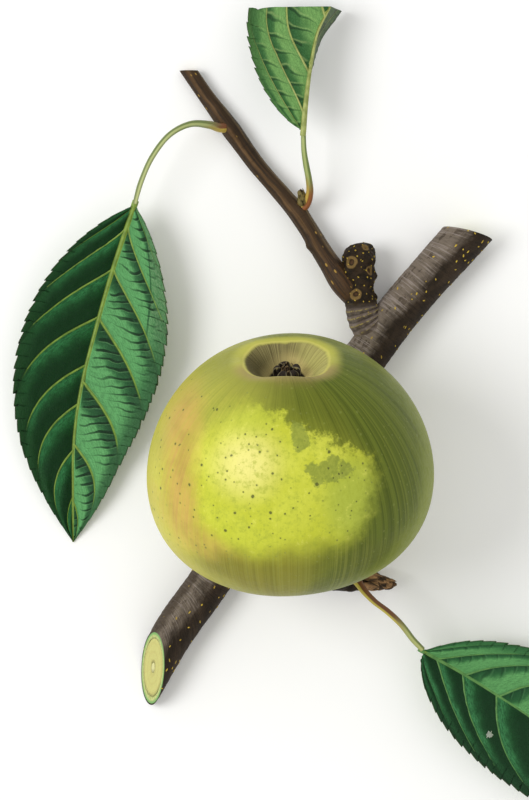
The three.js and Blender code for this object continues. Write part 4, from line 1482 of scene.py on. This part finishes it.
def leaf_blade(name, leaf, finish, node):
    """A closed thin sheet: the upper side, the lower side and a wall round the edge."""
    v = np.linspace(-1, 1, 2 * COLUMNS + 1)
    v = np.sign(v) * np.abs(v) ** 0.92
    t = blade_rows(leaf, v)
    v = np.broadcast_to(v, t.shape)
    point, face, out = blade_at(leaf, t, v)
    panel = panel_at(leaf, t, v)
    between = np.sin(np.pi * (panel % 1)) ** 2
    spread = np.clip(np.abs(v) * 5, 0, 1) * np.clip((1 - np.abs(v)) * 4, 0, 1)
    along = t * leaf["path"].length
    places = np.stack([along, out, 0 * out], -1)
    cross = np.sin(along * 2.85 + 0.25 * out + ripple(places, (9, 9, 9), 83))
    raised = QUILT * between * spread + PUCKER * cross * between * spread
    raised = raised + GRAIN * ripple(places, (2.2, 2.2, 2.2), 81) * spread
    raised = raised - RIB_DIP * np.exp(-((out / 1.5) ** 2)) + 0.1
    upper = point + face * raised[..., None]
    lower = upper - face * THICKNESS
    # Where the blade reaches the table it lies on it.
    lower[..., 2] = np.maximum(lower[..., 2], 0.02)
    upper[..., 2] = np.maximum(upper[..., 2], 0.02 + THICKNESS)
    if leaf["reach"] < 1:
        for sheet in (upper, lower):
            sheet[..., 1] = np.minimum(sheet[..., 1], TOP_LEAF_END)
    faces = blade_faces(*t.shape, upper)
    points = np.vstack([upper.reshape(-1, 3), lower.reshape(-1, 3)])
    place = np.stack([along, out, np.abs(v)], -1).reshape(-1, 3)
    half = np.clip(v * 30, -1, 1)
    vein = np.stack([panel, half, 0 * half], -1).reshape(-1, 3)
    place, vein = np.vstack([place, place]), np.vstack([vein, vein + (0, 0, 1)])
    used, faces = np.unique(faces, return_inverse=True)
    faces = faces.reshape(-1, 4).tolist()
    settle(piece(name, points[used], faces, finish, place=place[used], vein=vein[used]), "leaf", node)


def fold_shade_and_glint(colour, place, between, deep, glow, start, end, strength, every, droop, bow, heavy):
    """Painted shade of thin folds that cross from vein to vein, with a painted glint of light beside each."""
    along, out, across = place.parts()
    flat = place.scaled(1, 1, 0)
    bend = along + abs(out) * droop + (flat.noise(0.09, 2) - 0.5) * 5.0
    turn = ((bend + (between - 0.45) * (between - 0.45) * bow) * (1 / every)).fraction()
    full = between.over(start, end)
    reach = full * between.over(0.015, 0.05) * across.over(0.03, 0.10)
    reach = reach * across.over(0.92, 0.74) * flat.noise(0.20, 2).over(0.30, 0.40)
    # Painted shade in each fold, and a painted glint beside it.
    fold = (abs(turn - 0.5) - (full * heavy + 0.008)).over(0.025, -0.04) * reach
    glint = abs(turn - 0.68).over(0.10, 0.0) * reach
    return coats(colour, (glint * 0.32 * strength, glow), (fold * strength, tint(fold, deep, 0.42)))


def leaf_half(
    place, vein, deep, middle, light, ledge, lit_from, lines=None, glow="70a96c", hatch=0.3, margin_highlight=None
):
    """The green of one half of a leaf, in painted light and shade: panels painted light on one side of each
    vein and dark on the other, as their quilting would be lit, crossed by the painted shade of thin folds."""
    along, out, across = place.parts()
    panel = vein.part("X")
    between = panel.fraction()
    cloud = place.scaled(1, 1, 0).noise(0.16, 4, 0.6)
    laid_out = panel.node("ShaderNodeCombineXYZ", {}, {0: panel * 14, 1: abs(out) * 0.35, 2: 0.0})
    threads = laid_out.noise(2.2, 4, 0.6)
    # Painted light and shade: each panel between two veins runs from a dark to a lit green.
    tone = between + (cloud - 0.5) * 0.55
    start, end = lit_from
    lit = tone.over(start, end)
    bright = lit * tone.over(start + (end - start) * 0.4, end) * (1 - across.over(0.62, 0.95))
    colour = coats(
        tint(lit, deep, middle),
        (bright, light),
        (threads.over(0.46, 0.58) * (0.25 + 0.75 * lit) * hatch, deep),
        ((across + along * 0.0028).over(0.82, 1.08) * 0.85, ledge),
    )
    # A pale strip painted along the margin near the leaf's foot, a painted highlight where a margin turned up
    # to the light would be lit, with a painted dark crease beside it.
    if margin_highlight:
        length, pale = margin_highlight
        margin = across + along * 0.002
        turned = margin.over(0.76, 0.80) * along.over(length, length * 0.5)
        crease_shade = abs(margin - 0.765).over(0.022, 0.006) * along.over(length, length * 0.6)
        margin_highlight_colour = tint(threads.over(0.42, 0.6), pale, middle)
        colour = coats(colour, (turned * 0.8, margin_highlight_colour), (crease_shade * 0.8, deep))
    return fold_shade_and_glint(colour, place, between, deep, glow, *lines) if lines else colour


def leaf_finish(name, greens, ribs, back):
    """Both halves, one painted in a lit green and one in a shaded green, fine veins with painted shade beside
    them, a darker thread along the teeth and the paler back.
    """
    material, start = new_finish(name)
    vein_code, midrib_code, rib = ribs
    place = value_of(start, "place")
    vein = value_of(start, "vein")
    along, out, across = place.parts()
    panel = vein.part("X")
    near = 0.5 - abs(panel.fraction() - 0.5)
    net = place.scaled(1, 1, 0).cells(1.3, "DISTANCE_TO_EDGE")
    grain = place.noise(2.6, 4, 0.6)
    reached = panel.over(-0.6, -0.4)
    side_vein = near.over(0.040, 0.016) * (across + along * 0.0022).over(1.02, 0.84) * reached
    # Painted shade: a dark band beside each side vein.
    beside = near.over(0.13, 0.03) * (1 - side_vein) * reached
    under = vein.part("Z").over(0.3, 0.7)
    back_colour = coats(
        tint(grain.over(0.35, 0.7), back[0], back[1]),
        (net.over(0.10, 0.02) * 0.5, 0.7),
        (side_vein, back[2]),
    )
    first, second = (leaf_half(place, vein, **green) for green in greens)
    # Painted light and shade: one half takes a lit green and the other a shaded green.
    colour = coats(
        tint(vein.part("Y").over(-0.6, 0.6), first, second),
        (net.over(0.10, 0.02) * 0.16, 0.7),
        (grain.over(0.5, 0.75) * 0.4, 0.72),
        (beside * 0.45, 0.55),
        (side_vein * (1 - across.over(0.55, 1.0) * 0.6), vein_code),
        ((abs(out) + along * 0.0055).over(rib * 0.95, rib * 0.58), midrib_code),
        (across.over(0.975, 1.0) * 0.6, "2c2a14"),
        (under, back_colour),
    )
    rough = 0.46 + 0.22 * grain + under * 0.15
    height = net.over(0.0, 0.12) * 0.6 + grain * 0.5 - side_vein * 0.8 * (1 - under)
    return surface(material, colour, rough, height, 0.14, gloss=0.16)


def vein_grower():
    """Sweeps a round thread along every line of the mesh, as thick as its own value says."""
    grow = Grower("veins", Sides="Int")
    line = grow.node("GeometryNodeMeshToCurve", {}, {0: "@Geometry"})
    thick = grow.node("GeometryNodeInputNamedAttribute", {"data_type": "FLOAT"}, {0: "thick"})
    ring = grow.node("GeometryNodeCurvePrimitiveCircle", {}, {"Resolution": "@Sides", "Radius": MM})
    sweep = {"Curve": (line, 0), "Profile Curve": (ring, 0), "Scale": (thick, 0), "Fill Caps": True}
    return grow.end(grow.node("GeometryNodeCurveToMesh", {}, sweep))


veins = vein_grower()
VEIN = {"side": (0.36, 0.05), "reach": 0.92, "shorter": 0.26, "sink": 0.45}


def vein_lines(leaf):
    """t and v along the midrib and each side vein, with how wide it starts and ends."""
    last = 0.975
    if leaf["reach"] < 1:
        rows = np.linspace(0, 1, 200)
        reached = blade_at(leaf, rows, 0 * rows, toothed=False)[0][:, 1]
        last = np.interp(TOP_LEAF_END - 0.3, reached, rows)
    yield np.linspace(0.0, last, 90), np.zeros(90), leaf["rib"]
    for side, half in zip((-1, 1), leaf["halves"]):
        for start in half["veins"]:
            v = np.linspace(0.0, VEIN["reach"] - VEIN["shorter"] * start * leaf["reach"], 60)
            t = start + leaf["sweep"][0] * v + leaf["sweep"][1] * v**3
            t, v = t[t < 0.97], (v * side)[t < 0.97]
            if leaf["reach"] < 1:
                inside = blade_at(leaf, t, v, toothed=False)[0][:, 1] < TOP_LEAF_END - 0.4
                t, v = t[inside], v[inside]
            if len(t) >= 4:
                yield t, v, VEIN["side"]


def leaf_veins(name, leaf, finish):
    """The midrib and side veins of a leaf, as threads half sunk in its surface."""
    points, edges, thick = [], [], []
    for t, v, (wide, narrow) in vein_lines(leaf):
        point, face, out = blade_at(leaf, t, v, toothed=False)
        share = np.linspace(0, 1, len(t))
        width = wide + (narrow - wide) * share
        if not v.any():
            width = width * (0.6 + 0.4 * np.cos(share * np.pi / 2))
        dip = 0.1 - RIB_DIP * np.exp(-((out / 1.5) ** 2))
        sunk = point + face * (dip - width * VEIN["sink"])[:, None]
        sunk[:, 2] = np.maximum(sunk[:, 2], width + 0.03)
        if not v.any():
            # The midrib runs back into the end of the leaf's stalk.
            back = unit(sunk[0] - sunk[1]) * np.array((1.6, 0.8))[:, None]
            sunk = np.vstack([sunk[0] + back, sunk])
            width = np.concatenate([[width[0], width[0]], width])
        first = sum(len(line) for line in points)
        points.append(sunk)
        thick.append(width)
        edges += [(first + k, first + k + 1) for k in range(len(sunk) - 1)]
    made = piece(name, np.vstack(points), [], thick=np.concatenate(thick))
    made.data.edges.add(len(edges))
    made.data.edges.foreach_set("vertices", np.array(edges).ravel())
    settle(veins.run(made, Sides=10, Finish=finish), "leaf")


def vein_finish(name, light, dark):
    material, start = new_finish(name)
    grain = place_of(start).noise(420, 5, 0.6)
    return surface(material, tint(grain.over(0.38, 0.64), light, dark), 0.48, grain, 0.10, gloss=0.4)


for side, leaf in LEAVES.items():
    leaf["path"] = Path(leaf["midrib"])
    green = leaf_finish(f"{side}_leaf_green", leaf["greens"], leaf["ribs"], leaf["back"])
    leaf_blade(f"{side}_leaf_blade", leaf, green, f"leaf_{side}_blade")
    leaf_veins(f"{side}_leaf_veins", leaf, vein_finish(f"{side}_leaf_vein", *leaf["thread"]))
